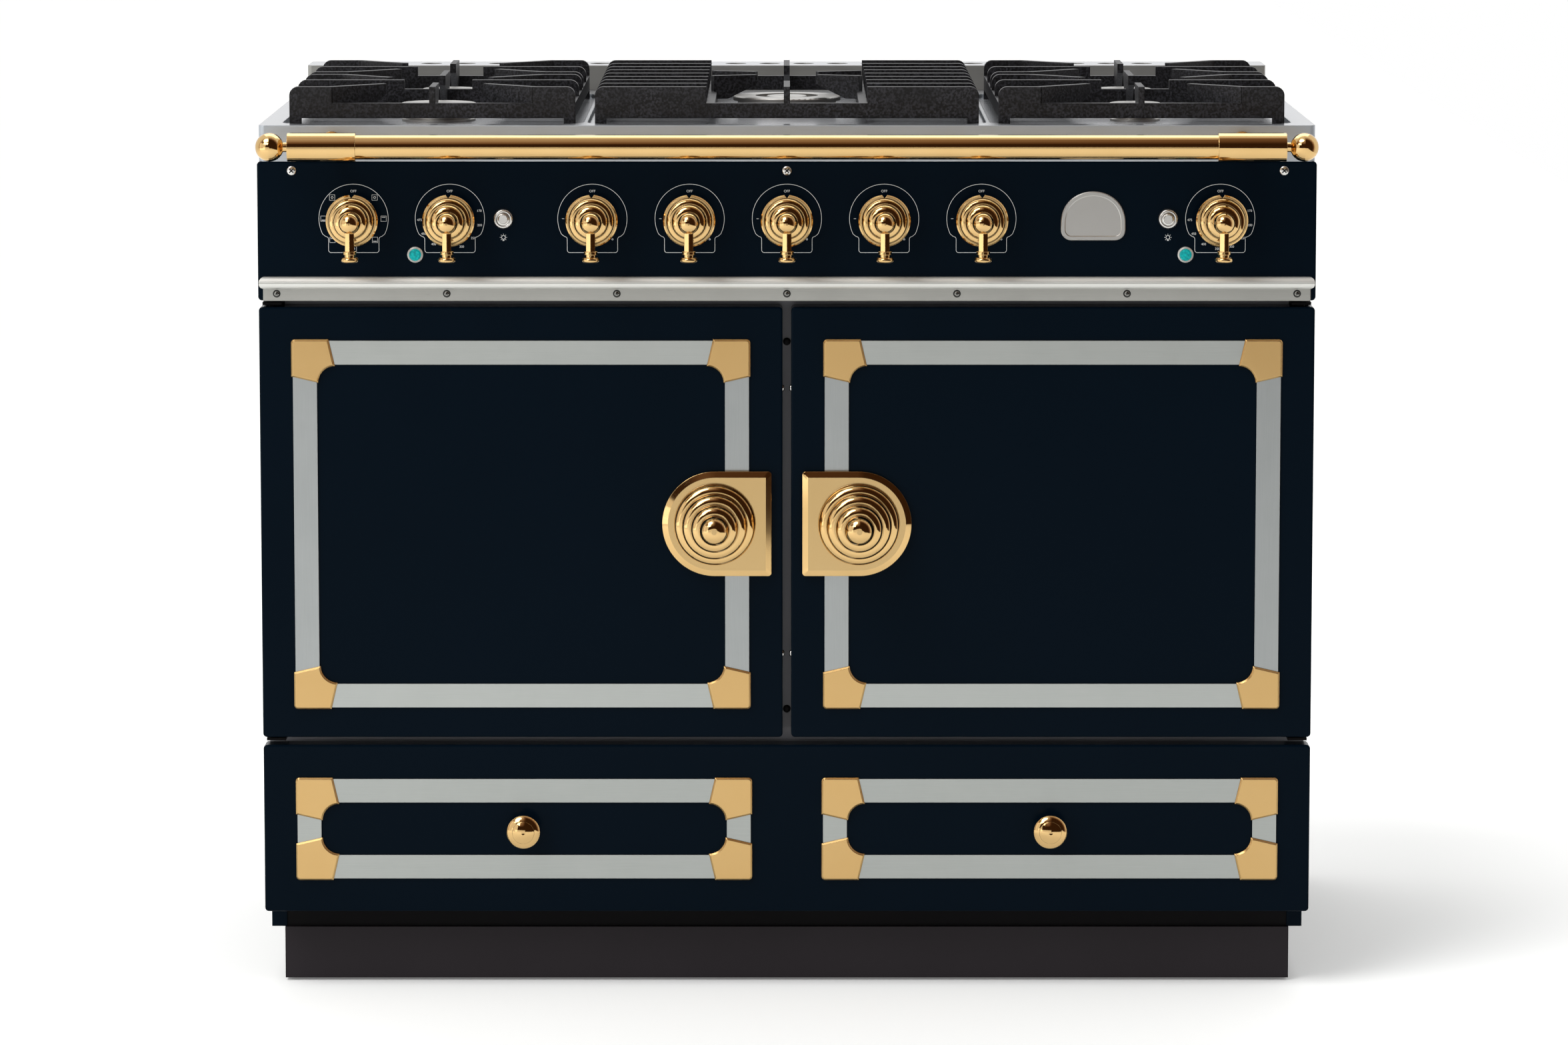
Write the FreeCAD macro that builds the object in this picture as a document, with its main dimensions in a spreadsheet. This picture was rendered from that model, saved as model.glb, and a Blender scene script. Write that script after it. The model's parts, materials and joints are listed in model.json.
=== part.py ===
"""Free-standing range cooker: two side-hung ovens, a storage drawer and a five-burner gas hob.

Every piece is drawn with the front face at y = 0, the floor at z = 0 and the middle at x = 0. The last
placement moves it back by FACE, so that the origin lies at the middle of the finished part's footprint.
"""
import FreeCAD, Part
import math
import os
from types import SimpleNamespace

import Sketcher
from FreeCAD import Placement, Rotation, Vector

SIZES = {
    # Front of the cooker, from the floor up
    "width": 1100.0,
    "body_depth": 650.0,
    "drawer_bottom": 83.3,
    "drawer_height": 177.5,
    "drawer_gap": 8.4,
    "door_height": 453.5,
    "panel_gap": 6.8,
    "panel_height": 145.0,
    "fascia_height": 37.5,
    # Sheet metal
    "enamel_sheet": 1.5,
    "casing_sheet": 1.2,
    "overrun": 5.0,
    # Doors
    "door_side_margin": 0.5,
    "door_centre_gap": 9.0,
    "door_depth": 30.0,
    "pan_corner": 4.0,
    "pan_edge_round": 2.0,
    "liner_flange": 1.5,
    "liner_inset": 22.0,
    "liner_depth": 10.0,
    "liner_corner": 12.0,
    # Door hinges
    "hinge_inset": 13.5,
    "hinge_pin_radius": 4.0,
    "pin_clearance": 0.05,
    "hinge_plate": 3.0,
    "hinge_plate_gap": 1.5,
    "hinge_plate_width": 20.0,
    "hinge_plate_front": 9.0,
    "hinge_leaf_height": 26.0,
    "hinge_pin_depth": 12.0,
    # Trim strips and corner plates
    "trim_width": 25.0,
    "trim_thickness": 2.0,
    "door_trim_side": 35.0,
    "door_trim_foot": 32.0,
    "door_trim_head": 35.0,
    "drawer_trim_outer": 36.0,
    "drawer_trim_inner": 38.0,
    "drawer_trim_height": 106.0,
    "corner_overhang": 1.6,
    "corner_outer_leg": 39.0,
    "corner_leg": 45.5,
    "corner_shoulder": 28.0,
    "corner_scoop": 18.0,
    "corner_round": 4.0,
    "corner_base": 2.6,
    "corner_bevel": 1.8,
    "bevel_angle": 45.0,
    # Door handles
    "handle_radius": 55.0,
    "handle_straight": 59.0,
    "handle_edge": 11.6,
    "handle_corner": 3.5,
    "handle_base": 6.8,
    "handle_bevel": 2.2,
    "handle_bevel_angle": 70.0,
    "dome_radius_1": 42.5,
    "dome_radius_2": 34.0,
    "dome_radius_3": 24.5,
    "dome_radius_4": 15.5,
    "dome_rise_1": 13.0,
    "dome_rise_2": 17.0,
    "dome_rise_3": 17.0,
    "dome_rise_4": 18.0,
    "dome_round": 8.0,
    "dome_tip_round": 13.0,
    # Drawer
    "drawer_front_depth": 25.0,
    "drawer_side_margin": 0.75,
    "drawer_back_plate": 1.5,
    "drawer_back_inset": 4.0,
    "drawer_box_side": 50.0,
    "drawer_box_depth": 480.0,
    "drawer_box_height": 130.0,
    "drawer_box_lift": 12.0,
    "drawer_wall": 1.5,
    "drawer_knob_radius": 17.5,
    "drawer_knob_neck": 9.0,
    "drawer_knob_reach": 30.0,
    "drawer_knob_base": 12.0,
    "drawer_knob_round": 6.0,
    "drawer_knob_slope": 12.0,
    "drawer_knob_slope_rise": 4.2,
    "drawer_knob_button": 11.5,
    "drawer_knob_step": 0.8,
    "drawer_knob_dome": 3.2,
    "runner_clearance": 0.3,
    "runner_sheet": 2.0,
    "runner_ledge": 20.0,
    "runner_guide": 26.0,
    "runner_foot": 18.0,
    "runner_end_gap": 12.0,
    # Casing
    "side_margin": 4.0,
    "side_flange": 16.0,
    "frame_sheet": 2.0,
    "frame_drop": 22.0,
    "frame_window_side": 26.0,
    "frame_window_edge": 15.0,
    "base_underside": 58.0,
    "base_height": 17.5,
    "base_sheet": 1.5,
    "plinth_side": 18.0,
    "plinth_setback": 45.0,
    "plinth_floor_gap": 3.0,
    "plinth_sheet": 1.5,
    "plinth_ledge": 28.0,
    "foot_radius": 20.0,
    "foot_pad": 9.0,
    "foot_collar": 12.0,
    "foot_collar_radius": 9.0,
    "foot_stem": 5.0,
    "foot_inset_x": 60.0,
    "foot_inset_front": 110.0,
    "foot_inset_back": 60.0,
    "gas_hole_radius": 14.0,
    "gas_inlet_radius": 10.48,
    "gas_inlet_length": 24.0,
    "gas_inlet_gap": 1.0,
    "back_recess": 30.0,
    "gas_inlet_side": 110.0,
    "bracket_hole_radius": 4.0,
    "bracket_hole_spacing": 120.0,
    "bracket_hole_drop": 60.0,
    "louvre_inner": 138.0,
    "louvre_length": 180.0,
    "louvre_height": 8.0,
    "louvre_pitch": 20.0,
    "louvre_drop": 140.0,
    # Ovens
    "cavity_side": 57.5,
    "cavity_height": 345.0,
    "cavity_depth": 420.0,
    "cavity_sheet": 1.5,
    "cavity_lip": 18.0,
    "cavity_frame_gap": 1.0,
    "seal_width": 10.0,
    "seal_thickness": 4.2,
    "seal_clearance": 0.3,
    "seal_inset": 3.0,
    "seal_corner": 14.0,
    "guide_rod": 2.5,
    "guide_wall_gap": 0.1,
    "guide_inset": 40.0,
    "guide_pitch": 75.0,
    "guide_height": 250.0,
    "shelf_rod": 3.0,
    "shelf_wire": 1.8,
    "shelf_offset": 9.0,
    "shelf_seat": 0.1,
    "shelf_end_gap": 60.0,
    "shelf_front_gap": 12.0,
    "fan_cover_size": 240.0,
    "fan_cover_depth": 42.0,
    "fan_cover_corner": 30.0,
    "fan_slot_radius": 7.0,
    "fan_slot_ring": 62.0,
    "fan_slot_inner_ring": 36.0,
    "fan_radius": 72.0,
    "fan_hub": 12.0,
    "fan_disc": 1.5,
    "fan_blade_depth": 20.0,
    "fan_blade_width": 26.0,
    "fan_blade_sheet": 1.2,
    "fan_wall_gap": 6.0,
    "fan_shaft": 4.0,
    "fan_shaft_grip": 24.0,
    "motor_radius": 34.0,
    "motor_length": 48.0,
    "motor_hole": 6.0,
    "element_rod": 3.2,
    "element_radius": 94.0,
    "element_wall_gap": 22.0,
    "element_gap": 30.0,
    "element_terminal": 4.6,
    "grill_drop": 22.0,
    "grill_reach": 300.0,
    "grill_pitch": 62.0,
    # Control panel
    "panel_depth": 46.0,
    "knob_height": 85.5,
    "oven_knob_inset": 100.0,
    "oven_knob_pitch": 100.0,
    "knob_group_gap": 148.0,
    "panel_hole": 6.0,
    "strip_height": 25.0,
    "strip_nose": 12.5,
    "strip_sheet": 2.5,
    "strip_reach": 9.0,
    "strip_nose_end": 1.5,
    "strip_nose_round": 5.5,
    "strip_flat_end": 5.5,
    "button_thermostat_gap": 55.6,
    "button_knob_gap": 54.2,
    "button_radius": 6.4,
    "button_gap": 0.1,
    "button_reach": 8.0,
    "button_tail": 12.0,
    "button_dome": 2.0,
    "button_bezel_radius": 10.5,
    "button_bezel_reach": 5.0,
    "button_bezel_step": 1.5,
    "button_travel": 3.0,
    "switch_size": 20.0,
    "switch_wall": 2.0,
    "switch_gap": 0.3,
    "lamp_thermostat_gap": 36.2,
    "lamp_knob_gap": 35.8,
    "lamp_drop": 37.5,
    "lamp_bezel_radius": 8.3,
    "lamp_radius": 6.2,
    "lamp_bezel_reach": 3.0,
    "lamp_reach": 4.5,
    "lamp_tail": 14.0,
    # Knobs
    "knob_gap": 4.4,
    "knob_neck": 18.0,
    "knob_ring": 27.0,
    "knob_ring_back": 23.5,
    "knob_ring_front": 30.0,
    "knob_ring_bevel": 1.6,
    "knob_step": 23.7,
    "knob_step_front": 39.0,
    "knob_step_round": 5.0,
    "knob_dome": 18.0,
    "knob_dome_front": 50.0,
    "knob_dome_round": 7.0,
    "knob_ball": 11.2,
    "knob_ball_reach": 60.0,
    "knob_ball_neck": 9.2,
    "knob_bore_depth": 24.0,
    "knob_notch_width": 5.6,
    "knob_notch_depth": 3.4,
    "lever_length": 40.0,
    "lever_across": 9.2,
    "lever_start": 8.0,
    "lever_collar_radius": 7.0,
    "lever_collar_thick": 3.0,
    "lever_waist_radius": 5.6,
    "lever_foot_radius": 9.3,
    "lever_foot_thick": 5.0,
    "lever_foot_round": 2.4,
    "spindle_radius": 4.0,
    "spindle_tail": 34.0,
    "spindle_end_gap": 0.5,
    "tang_width": 5.6,
    "tang_thickness": 3.0,
    "tang_length": 10.0,
    "tang_gap": 0.15,
    "push_travel": 4.0,
    # Gas taps and oven controls
    "tap_radius": 14.0,
    "tap_length": 50.0,
    "tap_hole": 5.0,
    "cone_radius": 8.0,
    "cone_clearance": 0.05,
    "cone_start": 14.0,
    "cone_length": 32.0,
    "cone_end_gap": 0.2,
    "manifold_radius": 9.0,
    "manifold_drop": 30.0,
    "manifold_depth": 36.0,
    "tap_neck": 6.0,
    "oven_control_size": 42.0,
    "oven_control_depth": 38.0,
    # Hob
    "hob_plate": 8.0,
    "hob_sheet": 2.0,
    "hob_corner": 6.0,
    "well_depth": 5.0,
    "well_margin": 8.0,
    "well_corner": 24.0,
    "hob_inset": 2.0,
    "hob_side_margin": 31.8,
    "centre_grate_width": 400.0,
    "grate_gap": 20.5,
    "grate_setback": 32.0,
    "grate_back_gap": 67.0,
    "grate_height": 38.0,
    "grate_bar": 15.6,
    "grate_bar_lift": 5.2,
    "grate_thickness": 9.0,
    "grate_foot": 12.0,
    "grate_seat": 0.1,
    "grate_round": 9.0,
    "finger_straight": 42.0,
    "finger_tip_gap": 36.0,
    "finger_spread": 22.0,
    "finger_angle": 44.0,
    "finger_length": 74.0,
    "finger_tip": 10.0,
    "finger_taper": 34.0,
    "fin_length": 72.0,
    "fin_short": 48.0,
    "fin_thickness": 6.5,
    "slat_length": 116.0,
    "slat_thickness": 9.0,
    "wok_finger_length": 50.0,
    "wok_finger_angle": 22.0,
    "wok_finger_spread": 46.0,
    "wok_fin_length": 104.0,
    "burner_hole_gap": 0.2,
    "burner_flange": 4.0,
    "burner_flange_thick": 2.0,
    "burner_rise": 14.0,
    "burner_cup": 18.0,
    "burner_throat": 8.0,
    "burner_skirt": 5.0,
    "cap_front_left": 40.0,
    "cap_back_left": 31.5,
    "cap_front_right": 27.5,
    "cap_back_right": 32.0,
    "cap_wok": 58.0,
    "cap_thickness": 5.0,
    "cap_round": 2.0,
    "wok_ring_hole": 34.0,
    "wok_inner_cap": 22.0,
    "vent_side": 9.0,
    "vent_depth": 75.0,
    "vent_height": 28.0,
    "vent_sheet": 2.0,
    "vent_hole": 12.0,
    "vent_pitch": 38.4,
    "vent_end": 40.0,
    # Towel rail
    "rail_radius": 12.7,
    "rail_drop": 19.0,
    "rail_reach": 50.0,
    "rail_end_inset": 2.8,
    "rail_bore": 10.7,
    "ferrule_radius": 14.8,
    "ferrule_length": 70.0,
    "ferrule_gap": 0.1,
    "finial_radius": 14.8,
    "finial_neck_radius": 5.0,
    "finial_neck": 4.65,
    "rail_post_step": 28.0,
    "rail_post_radius": 8.0,
    "rail_rose_radius": 13.0,
    "rail_rose_thick": 4.0,
}

# How many there are of each repeated piece
FAN_BLADES = 12
SHELF_WIRES = 15
SLATS = 9
GUIDE_RUNGS = 3
GRILL_TUBES = 4
LOUVRES = 5
LEVER_SIDES = 6

doc = FreeCAD.newDocument("range_cooker")
sheet = doc.addObject("Spreadsheet::Sheet", "sizes")
for row, (alias, number) in enumerate(SIZES.items(), start=1):
    sheet.set(f"A{row}", alias)
    sheet.set(f"B{row}", str(number))
    sheet.setAlias(f"B{row}", alias)
doc.recompute()


class Size:
    """A length that carries its formula in the sheet's names beside its present value."""

    def __init__(self, formula, value):
        self.formula = formula
        self.value = value

    def __add__(self, other):
        other = as_size(other)
        return Size(f"({self.formula} + {other.formula})", self.value + other.value)

    def __sub__(self, other):
        other = as_size(other)
        return Size(f"({self.formula} - {other.formula})", self.value - other.value)

    def __mul__(self, other):
        other = as_size(other)
        return Size(f"({self.formula} * {other.formula})", self.value * other.value)

    def __truediv__(self, other):
        other = as_size(other)
        return Size(f"({self.formula} / {other.formula})", self.value / other.value)

    def __neg__(self):
        return Size(f"(0 - {self.formula})", -self.value)

    __radd__ = __add__
    __rmul__ = __mul__

    def __rsub__(self, other):
        return as_size(other) - self


def as_size(number):
    """The number as a Size, unless it is one already."""
    return number if isinstance(number, Size) else Size(f"{number:.10g}", float(number))


def sine(angle):
    """The sine of a Size in degrees."""
    return Size(f"sin({angle.formula} * 1 deg)", math.sin(math.radians(angle.value)))


def cosine(angle):
    """The cosine of a Size in degrees."""
    return Size(f"cos({angle.formula} * 1 deg)", math.cos(math.radians(angle.value)))


def root(number):
    """The square root of a Size."""
    return Size(f"sqrt({number.formula})", math.sqrt(number.value))


S = SimpleNamespace(**{alias: Size(f"sizes.{alias}", number) for alias, number in SIZES.items()})

# Levels and depths that several pieces share
DRAWER_TOP = S.drawer_bottom + S.drawer_height
DOOR_BOTTOM = DRAWER_TOP + S.drawer_gap
DOOR_TOP = DOOR_BOTTOM + S.door_height
DOOR_MIDDLE = DOOR_BOTTOM + S.door_height / 2
PANEL_BOTTOM = DOOR_TOP + S.panel_gap
PANEL_TOP = PANEL_BOTTOM + S.panel_height
HOB_TOP = PANEL_TOP + S.fascia_height
WELL_FLOOR = HOB_TOP - S.well_depth
KNOB_LEVEL = PANEL_BOTTOM + S.knob_height
DOOR_BACK = S.door_depth + S.liner_depth
FRAME_FRONT = DOOR_BACK + S.seal_clearance + S.seal_thickness + S.cavity_sheet
FRAME_BACK = FRAME_FRONT + S.frame_sheet
SIDE_OUTER = S.width / 2 - S.side_margin
SIDE_INNER = SIDE_OUTER - S.casing_sheet
BACK_FRONT = S.body_depth - S.back_recess
BASE_TOP = S.base_underside + S.base_height
DOOR_WIDTH = (S.width - S.door_centre_gap) / 2 - S.door_side_margin
DOOR_CENTRE = (S.door_centre_gap + DOOR_WIDTH) / 2
CAVITY_WIDTH = DOOR_WIDTH - 2 * S.cavity_side
DRAWER_BOX_WIDTH = S.width - 2 * S.drawer_box_side
PLINTH_WIDTH = S.width - 2 * S.plinth_side
OVEN_KNOB_X = S.width / 2 - S.oven_knob_inset
THERMOSTAT_X = OVEN_KNOB_X - S.oven_knob_pitch
KNOB_PITCH = (THERMOSTAT_X - S.knob_group_gap) / 2
HANDLE_REACH = (S.handle_base + S.handle_bevel + S.dome_rise_1 + S.dome_rise_2
                + S.dome_rise_3 + S.dome_rise_4)
FACE = (HANDLE_REACH - S.body_depth) / 2
GRATE_FRONT = S.grate_setback
GRATE_DEPTH = S.body_depth - S.vent_depth - S.grate_back_gap - GRATE_FRONT
GRATE_MIDDLE = GRATE_FRONT + GRATE_DEPTH / 2
BURNER_OFFSET = GRATE_DEPTH / 4
SIDE_GRATE_WIDTH = S.width / 2 - S.hob_side_margin - S.grate_gap - S.centre_grate_width / 2
SIDE_GRATE_X = S.centre_grate_width / 2 + S.grate_gap + SIDE_GRATE_WIDTH / 2
CAVITY_BACK = FRAME_FRONT + S.cavity_depth

ALONG = {
    "x": Rotation(Vector(0, 1, 0), 90),
    "y": Rotation(Vector(1, 0, 0), -90),
    "z": Rotation(),
}
PLANES = {
    "xy": Rotation(),
    "xz": Rotation(Vector(1, 0, 0), 90),
    "yz": Rotation(Vector(1, 1, 1), 120),
}
# Turns a piece that was turned about the y axis so that its axis lies along x or z
TURNED_TO = {
    "x": Rotation(Vector(0, 0, 1), -90),
    "y": Rotation(),
    "z": Rotation(Vector(1, 0, 0), 90),
}
NODES = []


def bind(thing, field, value):
    """Tie a property to a formula, or set it where the value is a plain one."""
    if isinstance(value, Size):
        thing.setExpression(field, value.formula)
    else:
        setattr(thing, field, value)


def place(thing, x=0, y=0, z=0, rotation=None):
    """Set a turn and tie the position to formulas."""
    if rotation is not None:
        thing.Placement = Placement(Vector(), rotation)
    for axis, value in zip("xyz", (x, y, z)):
        if isinstance(value, Size):
            thing.setExpression(f"Placement.Base.{axis}", value.formula)
    return thing


def node(thing, label, x=0, y=0, z=0, rotation=None):
    """Name a finished sub-part and put it in the cooker's frame."""
    thing.Label = label
    NODES.append(place(thing, x, FACE + y, z, rotation))
    return thing


def box(wide, deep, tall, x, y, z):
    """A block from its lowest corner."""
    block = doc.addObject("Part::Box", "block")
    for field, value in (("Length", wide), ("Width", deep), ("Height", tall)):
        bind(block, field, value)
    return place(block, x, y, z)


def rod(radius, length, x, y, z, axis="z"):
    """A round bar from its start point along an axis."""
    bar = doc.addObject("Part::Cylinder", "bar")
    bind(bar, "Radius", radius)
    bind(bar, "Height", length)
    return place(bar, x, y, z, ALONG[axis])


def fuse(*shapes):
    """One solid from several that meet."""
    joined = doc.addObject("Part::MultiFuse", "joined")
    joined.Shapes = list(shapes)
    joined.Refine = True
    return joined


def group(*shapes):
    """Separate solids kept in one sub-part."""
    gathered = doc.addObject("Part::Compound", "gathered")
    gathered.Links = list(shapes)
    return gathered


def cut(base, *tools):
    """The base less every tool."""
    result = doc.addObject("Part::Cut", "trimmed")
    result.Base = base
    result.Tool = tools[0] if len(tools) == 1 else fuse(*tools)
    return result


def common(first, second):
    """What two solids share."""
    shared = doc.addObject("Part::Common", "shared")
    shared.Base = first
    shared.Tool = second
    return shared


def arc_centre(start, end, radius, anticlockwise):
    """Centre of the short arc from start to end."""
    chord = end - start
    rise = math.sqrt(max(radius ** 2 - (chord.Length / 2) ** 2, 0))
    normal = Vector(-chord.y, chord.x, 0).normalize()
    return (start + end) / 2 + normal * (rise if anticlockwise else -rise)


class Outline:
    """A sketch whose every point is tied to formulas."""

    def __init__(self, plane="xy", body=None, role=None, offset=None):
        if body is None:
            self.sketch = doc.addObject("Sketcher::SketchObject", "outline")
            self.sketch.Placement = Placement(Vector(), PLANES[plane])
            return
        self.sketch = body.newObject("Sketcher::SketchObject", "outline")
        features = body.Origin.OriginFeatures
        self.sketch.AttachmentSupport = [next(item for item in features if item.Role == role)]
        self.sketch.MapMode = "FlatFace"
        if offset is not None:
            self.sketch.setExpression("AttachmentOffset.Base.z", offset.formula)

    def fix(self, kind, geometry, point, value):
        """Tie one coordinate of a point."""
        if isinstance(value, Size):
            index = self.sketch.addConstraint(Sketcher.Constraint(kind, geometry, point, value.value))
            self.sketch.setExpression(f"Constraints[{index}]", value.formula)
        else:
            axis = -2 if kind == "DistanceX" else -1
            self.sketch.addConstraint(Sketcher.Constraint("PointOnObject", geometry, point, axis))

    def loop(self, *corners):
        """A closed outline of (u, v) corners; (u, v, radius, turn) starts an arc to the next corner."""
        points = [Vector(as_size(u).value, as_size(v).value, 0) for u, v, *_ in corners]
        ends = []
        for number, corner in enumerate(corners):
            start, end = points[number], points[(number + 1) % len(points)]
            if len(corner) == 2:
                index = self.sketch.addGeometry(Part.LineSegment(start, end))
                ends.append((index, 1, 2))
                continue
            radius, turn = corner[2:]
            left = turn == "left"
            centre = arc_centre(start, end, radius.value, left)
            first, last = (start, end) if left else (end, start)
            angles = [math.atan2(spot.y - centre.y, spot.x - centre.x) for spot in (first, last)]
            if angles[1] < angles[0]:
                angles[1] += 2 * math.pi
            circle = Part.Circle(centre, Vector(0, 0, 1), radius.value)
            index = self.sketch.addGeometry(Part.ArcOfCircle(circle, *angles))
            ends.append((index, 1, 2) if left else (index, 2, 1))
        for number, corner in enumerate(corners):
            index, begin, finish = ends[number]
            following, its_begin, _ = ends[(number + 1) % len(ends)]
            self.sketch.addConstraint(Sketcher.Constraint("Coincident", index, finish, following, its_begin))
            self.fix("DistanceX", index, begin, corner[0])
            self.fix("DistanceY", index, begin, corner[1])
        for number, corner in enumerate(corners):
            if len(corner) > 2:
                radius = corner[2]
                constraint = Sketcher.Constraint("Radius", ends[number][0], radius.value)
                self.sketch.setExpression(
                    f"Constraints[{self.sketch.addConstraint(constraint)}]", radius.formula)
        return self

    def circle(self, u, v, radius):
        """A round hole or disc."""
        centre = Vector(as_size(u).value, as_size(v).value, 0)
        index = self.sketch.addGeometry(Part.Circle(centre, Vector(0, 0, 1), radius.value))
        self.fix("DistanceX", index, 3, u)
        self.fix("DistanceY", index, 3, v)
        spot = self.sketch.addConstraint(Sketcher.Constraint("Radius", index, radius.value))
        self.sketch.setExpression(f"Constraints[{spot}]", radius.formula)
        return self

    def rounded(self, left, bottom, right, top, radius):
        """A rectangle with round corners."""
        return self.loop(
            (left + radius, bottom), (right - radius, bottom, radius, "left"),
            (right, bottom + radius), (right, top - radius, radius, "left"),
            (right - radius, top), (left + radius, top, radius, "left"),
            (left, top - radius), (left, bottom + radius, radius, "left"))

    def square(self, left, bottom, right, top):
        """A rectangle with sharp corners."""
        return self.loop((left, bottom), (right, bottom), (right, top), (left, top))


def extrude(outline, direction, length, taper=None):
    """A solid drawn along a direction from an outline."""
    solid = doc.addObject("Part::Extrusion", "drawn")
    solid.Base = outline.sketch
    solid.DirMode = "Custom"
    solid.Dir = direction
    solid.Solid = True
    bind(solid, "LengthFwd", length)
    if taper is not None:
        bind(solid, "TaperAngle", taper)
    return solid


def turned(*corners):
    """A solid turned about the y axis from (radius, along) corners."""
    solid = doc.addObject("Part::Revolution", "turned")
    solid.Source = Outline("xy").loop(*corners).sketch
    solid.Axis = Vector(0, 1, 0)
    solid.Angle = 360
    solid.Solid = True
    return solid


FRONT = Vector(0, -1, 0)
BACK = Vector(0, 1, 0)
UP = Vector(0, 0, 1)
RIGHT = Vector(1, 0, 0)


def pan(label, left, bottom, right, top, deep, wall, holes=()):
    """An enamelled pan, open at the back, with round holes (x, z, radius) in its face."""
    body = doc.addObject("PartDesign::Body", label)
    face = Outline(body=body, role="XZ_Plane").rounded(left, bottom, right, top, S.pan_corner)
    for x, z, radius in holes:
        face.circle(x, z, radius)
    pad = body.newObject("PartDesign::Pad", "skin")
    pad.Profile = face.sketch
    pad.Reversed = True
    bind(pad, "Length", deep)
    doc.recompute()
    rim = body.newObject("PartDesign::Fillet", "rim")
    rim.Base = (pad, outer_front_edges(pad.Shape))
    bind(rim, "Radius", S.pan_edge_round)
    hollow = Outline(body=body, role="XZ_Plane", offset=-wall)
    hollow.square(left + wall, bottom + wall, right - wall, top - wall)
    pocket = body.newObject("PartDesign::Pocket", "hollow")
    pocket.Profile = hollow.sketch
    pocket.Type = "ThroughAll"
    return body


def outer_front_edges(shape):
    """Names of the edges round the outside of the front face."""
    names = []
    for number, edge in enumerate(shape.Edges, start=1):
        in_front = edge.BoundBox.YMax < S.enamel_sheet.value
        whole_circle = len(edge.Vertexes) == 1
        if in_front and not whole_circle:
            names.append(f"Edge{number}")
    return names


def side_name(side):
    """The word for a side: -1 is left, 1 is right."""
    return "left" if side < 0 else "right"


def door(side):
    """One side-hung oven door: pan, liner, trim strips, corner plates and handle."""
    name = side_name(side)
    near = S.door_centre_gap / 2 * side
    far = near + DOOR_WIDTH * side
    left, right = (far, near) if side < 0 else (near, far)
    skin = pan(f"pan_{name}", left, DOOR_BOTTOM, right, DOOR_TOP, S.door_depth, S.enamel_sheet)
    pivot = far - S.hinge_inset * side
    bore = rod(S.hinge_pin_radius + S.pin_clearance, S.door_height + 2 * S.overrun,
               pivot, S.door_depth / 2, DOOR_BOTTOM - S.overrun)
    node(cut(skin, bore), f"door_panel_{name}")

    flange = extrude(Outline("xz").rounded(left, DOOR_BOTTOM, right, DOOR_TOP, S.pan_corner),
                     BACK, S.liner_flange)
    raised = extrude(
        Outline("xz").rounded(left + S.liner_inset, DOOR_BOTTOM + S.liner_inset,
                              right - S.liner_inset, DOOR_TOP - S.liner_inset, S.liner_corner),
        BACK, S.liner_depth)
    hollow_inset = S.liner_inset + S.enamel_sheet
    hollow = box(DOOR_WIDTH - 2 * hollow_inset, S.liner_depth - S.enamel_sheet,
                 S.door_height - 2 * hollow_inset, left + hollow_inset, 0, DOOR_BOTTOM + hollow_inset)
    node(cut(fuse(flange, raised), hollow), f"door_liner_{name}", y=S.door_depth)

    trim_left = left + S.door_trim_side
    trim_right = right - S.door_trim_side
    trim_bottom = DOOR_BOTTOM + S.door_trim_foot
    trim_top = DOOR_TOP - S.door_trim_head
    handle, plate = door_handle(side, near)
    corners = corner_plates([(trim_left, trim_bottom, trim_right, trim_top)])
    strips = cut(trim_frames([(trim_left, trim_bottom, trim_right, trim_top)]), corners, plate)
    node(strips, f"door_trim_{name}")
    node(group(corners), f"door_corners_{name}")
    node(group(handle), f"door_handle_{name}")


def trim_frames(frames):
    """Steel strips laid round each (left, bottom, right, top) rectangle."""
    outline = Outline("xz")
    for left, bottom, right, top in frames:
        outline.square(left, bottom, right, top)
        outline.square(left + S.trim_width, bottom + S.trim_width,
                       right - S.trim_width, top - S.trim_width)
    return extrude(outline, FRONT, S.trim_thickness)


def corner_plates(frames):
    """Bevelled plates with a scooped inner edge at the corners of each rectangle."""
    plates = []
    for left, bottom, right, top in frames:
        for x, across in ((left - S.corner_overhang, 1), (right + S.corner_overhang, -1)):
            for z, upward in ((bottom - S.corner_overhang, 1), (top + S.corner_overhang, -1)):
                plates.append(corner_plate(x, z, across, upward))
    return group(*plates)


def corner_plate(x, z, across, upward):
    """One corner plate whose outer corner is at (x, z)."""
    def spot(along, rise):
        return x + along * across, z + rise * upward

    turn = ("left", "right") if across == upward else ("right", "left")
    corners = (
        (*spot(S.corner_round, 0),),
        (*spot(S.corner_outer_leg, 0),),
        (*spot(S.corner_leg, S.corner_shoulder), S.corner_scoop, turn[1]),
        (*spot(S.corner_shoulder, S.corner_leg),),
        (*spot(0, S.corner_outer_leg),),
        (*spot(0, S.corner_round), S.corner_round, turn[0]),
    )
    base = extrude(Outline("xz").loop(*corners), FRONT, S.corner_base)
    crown = extrude(Outline("xz").loop(*corners), FRONT, S.corner_bevel, -S.bevel_angle)
    return fuse(base, place(crown, y=-S.corner_base))


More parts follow.
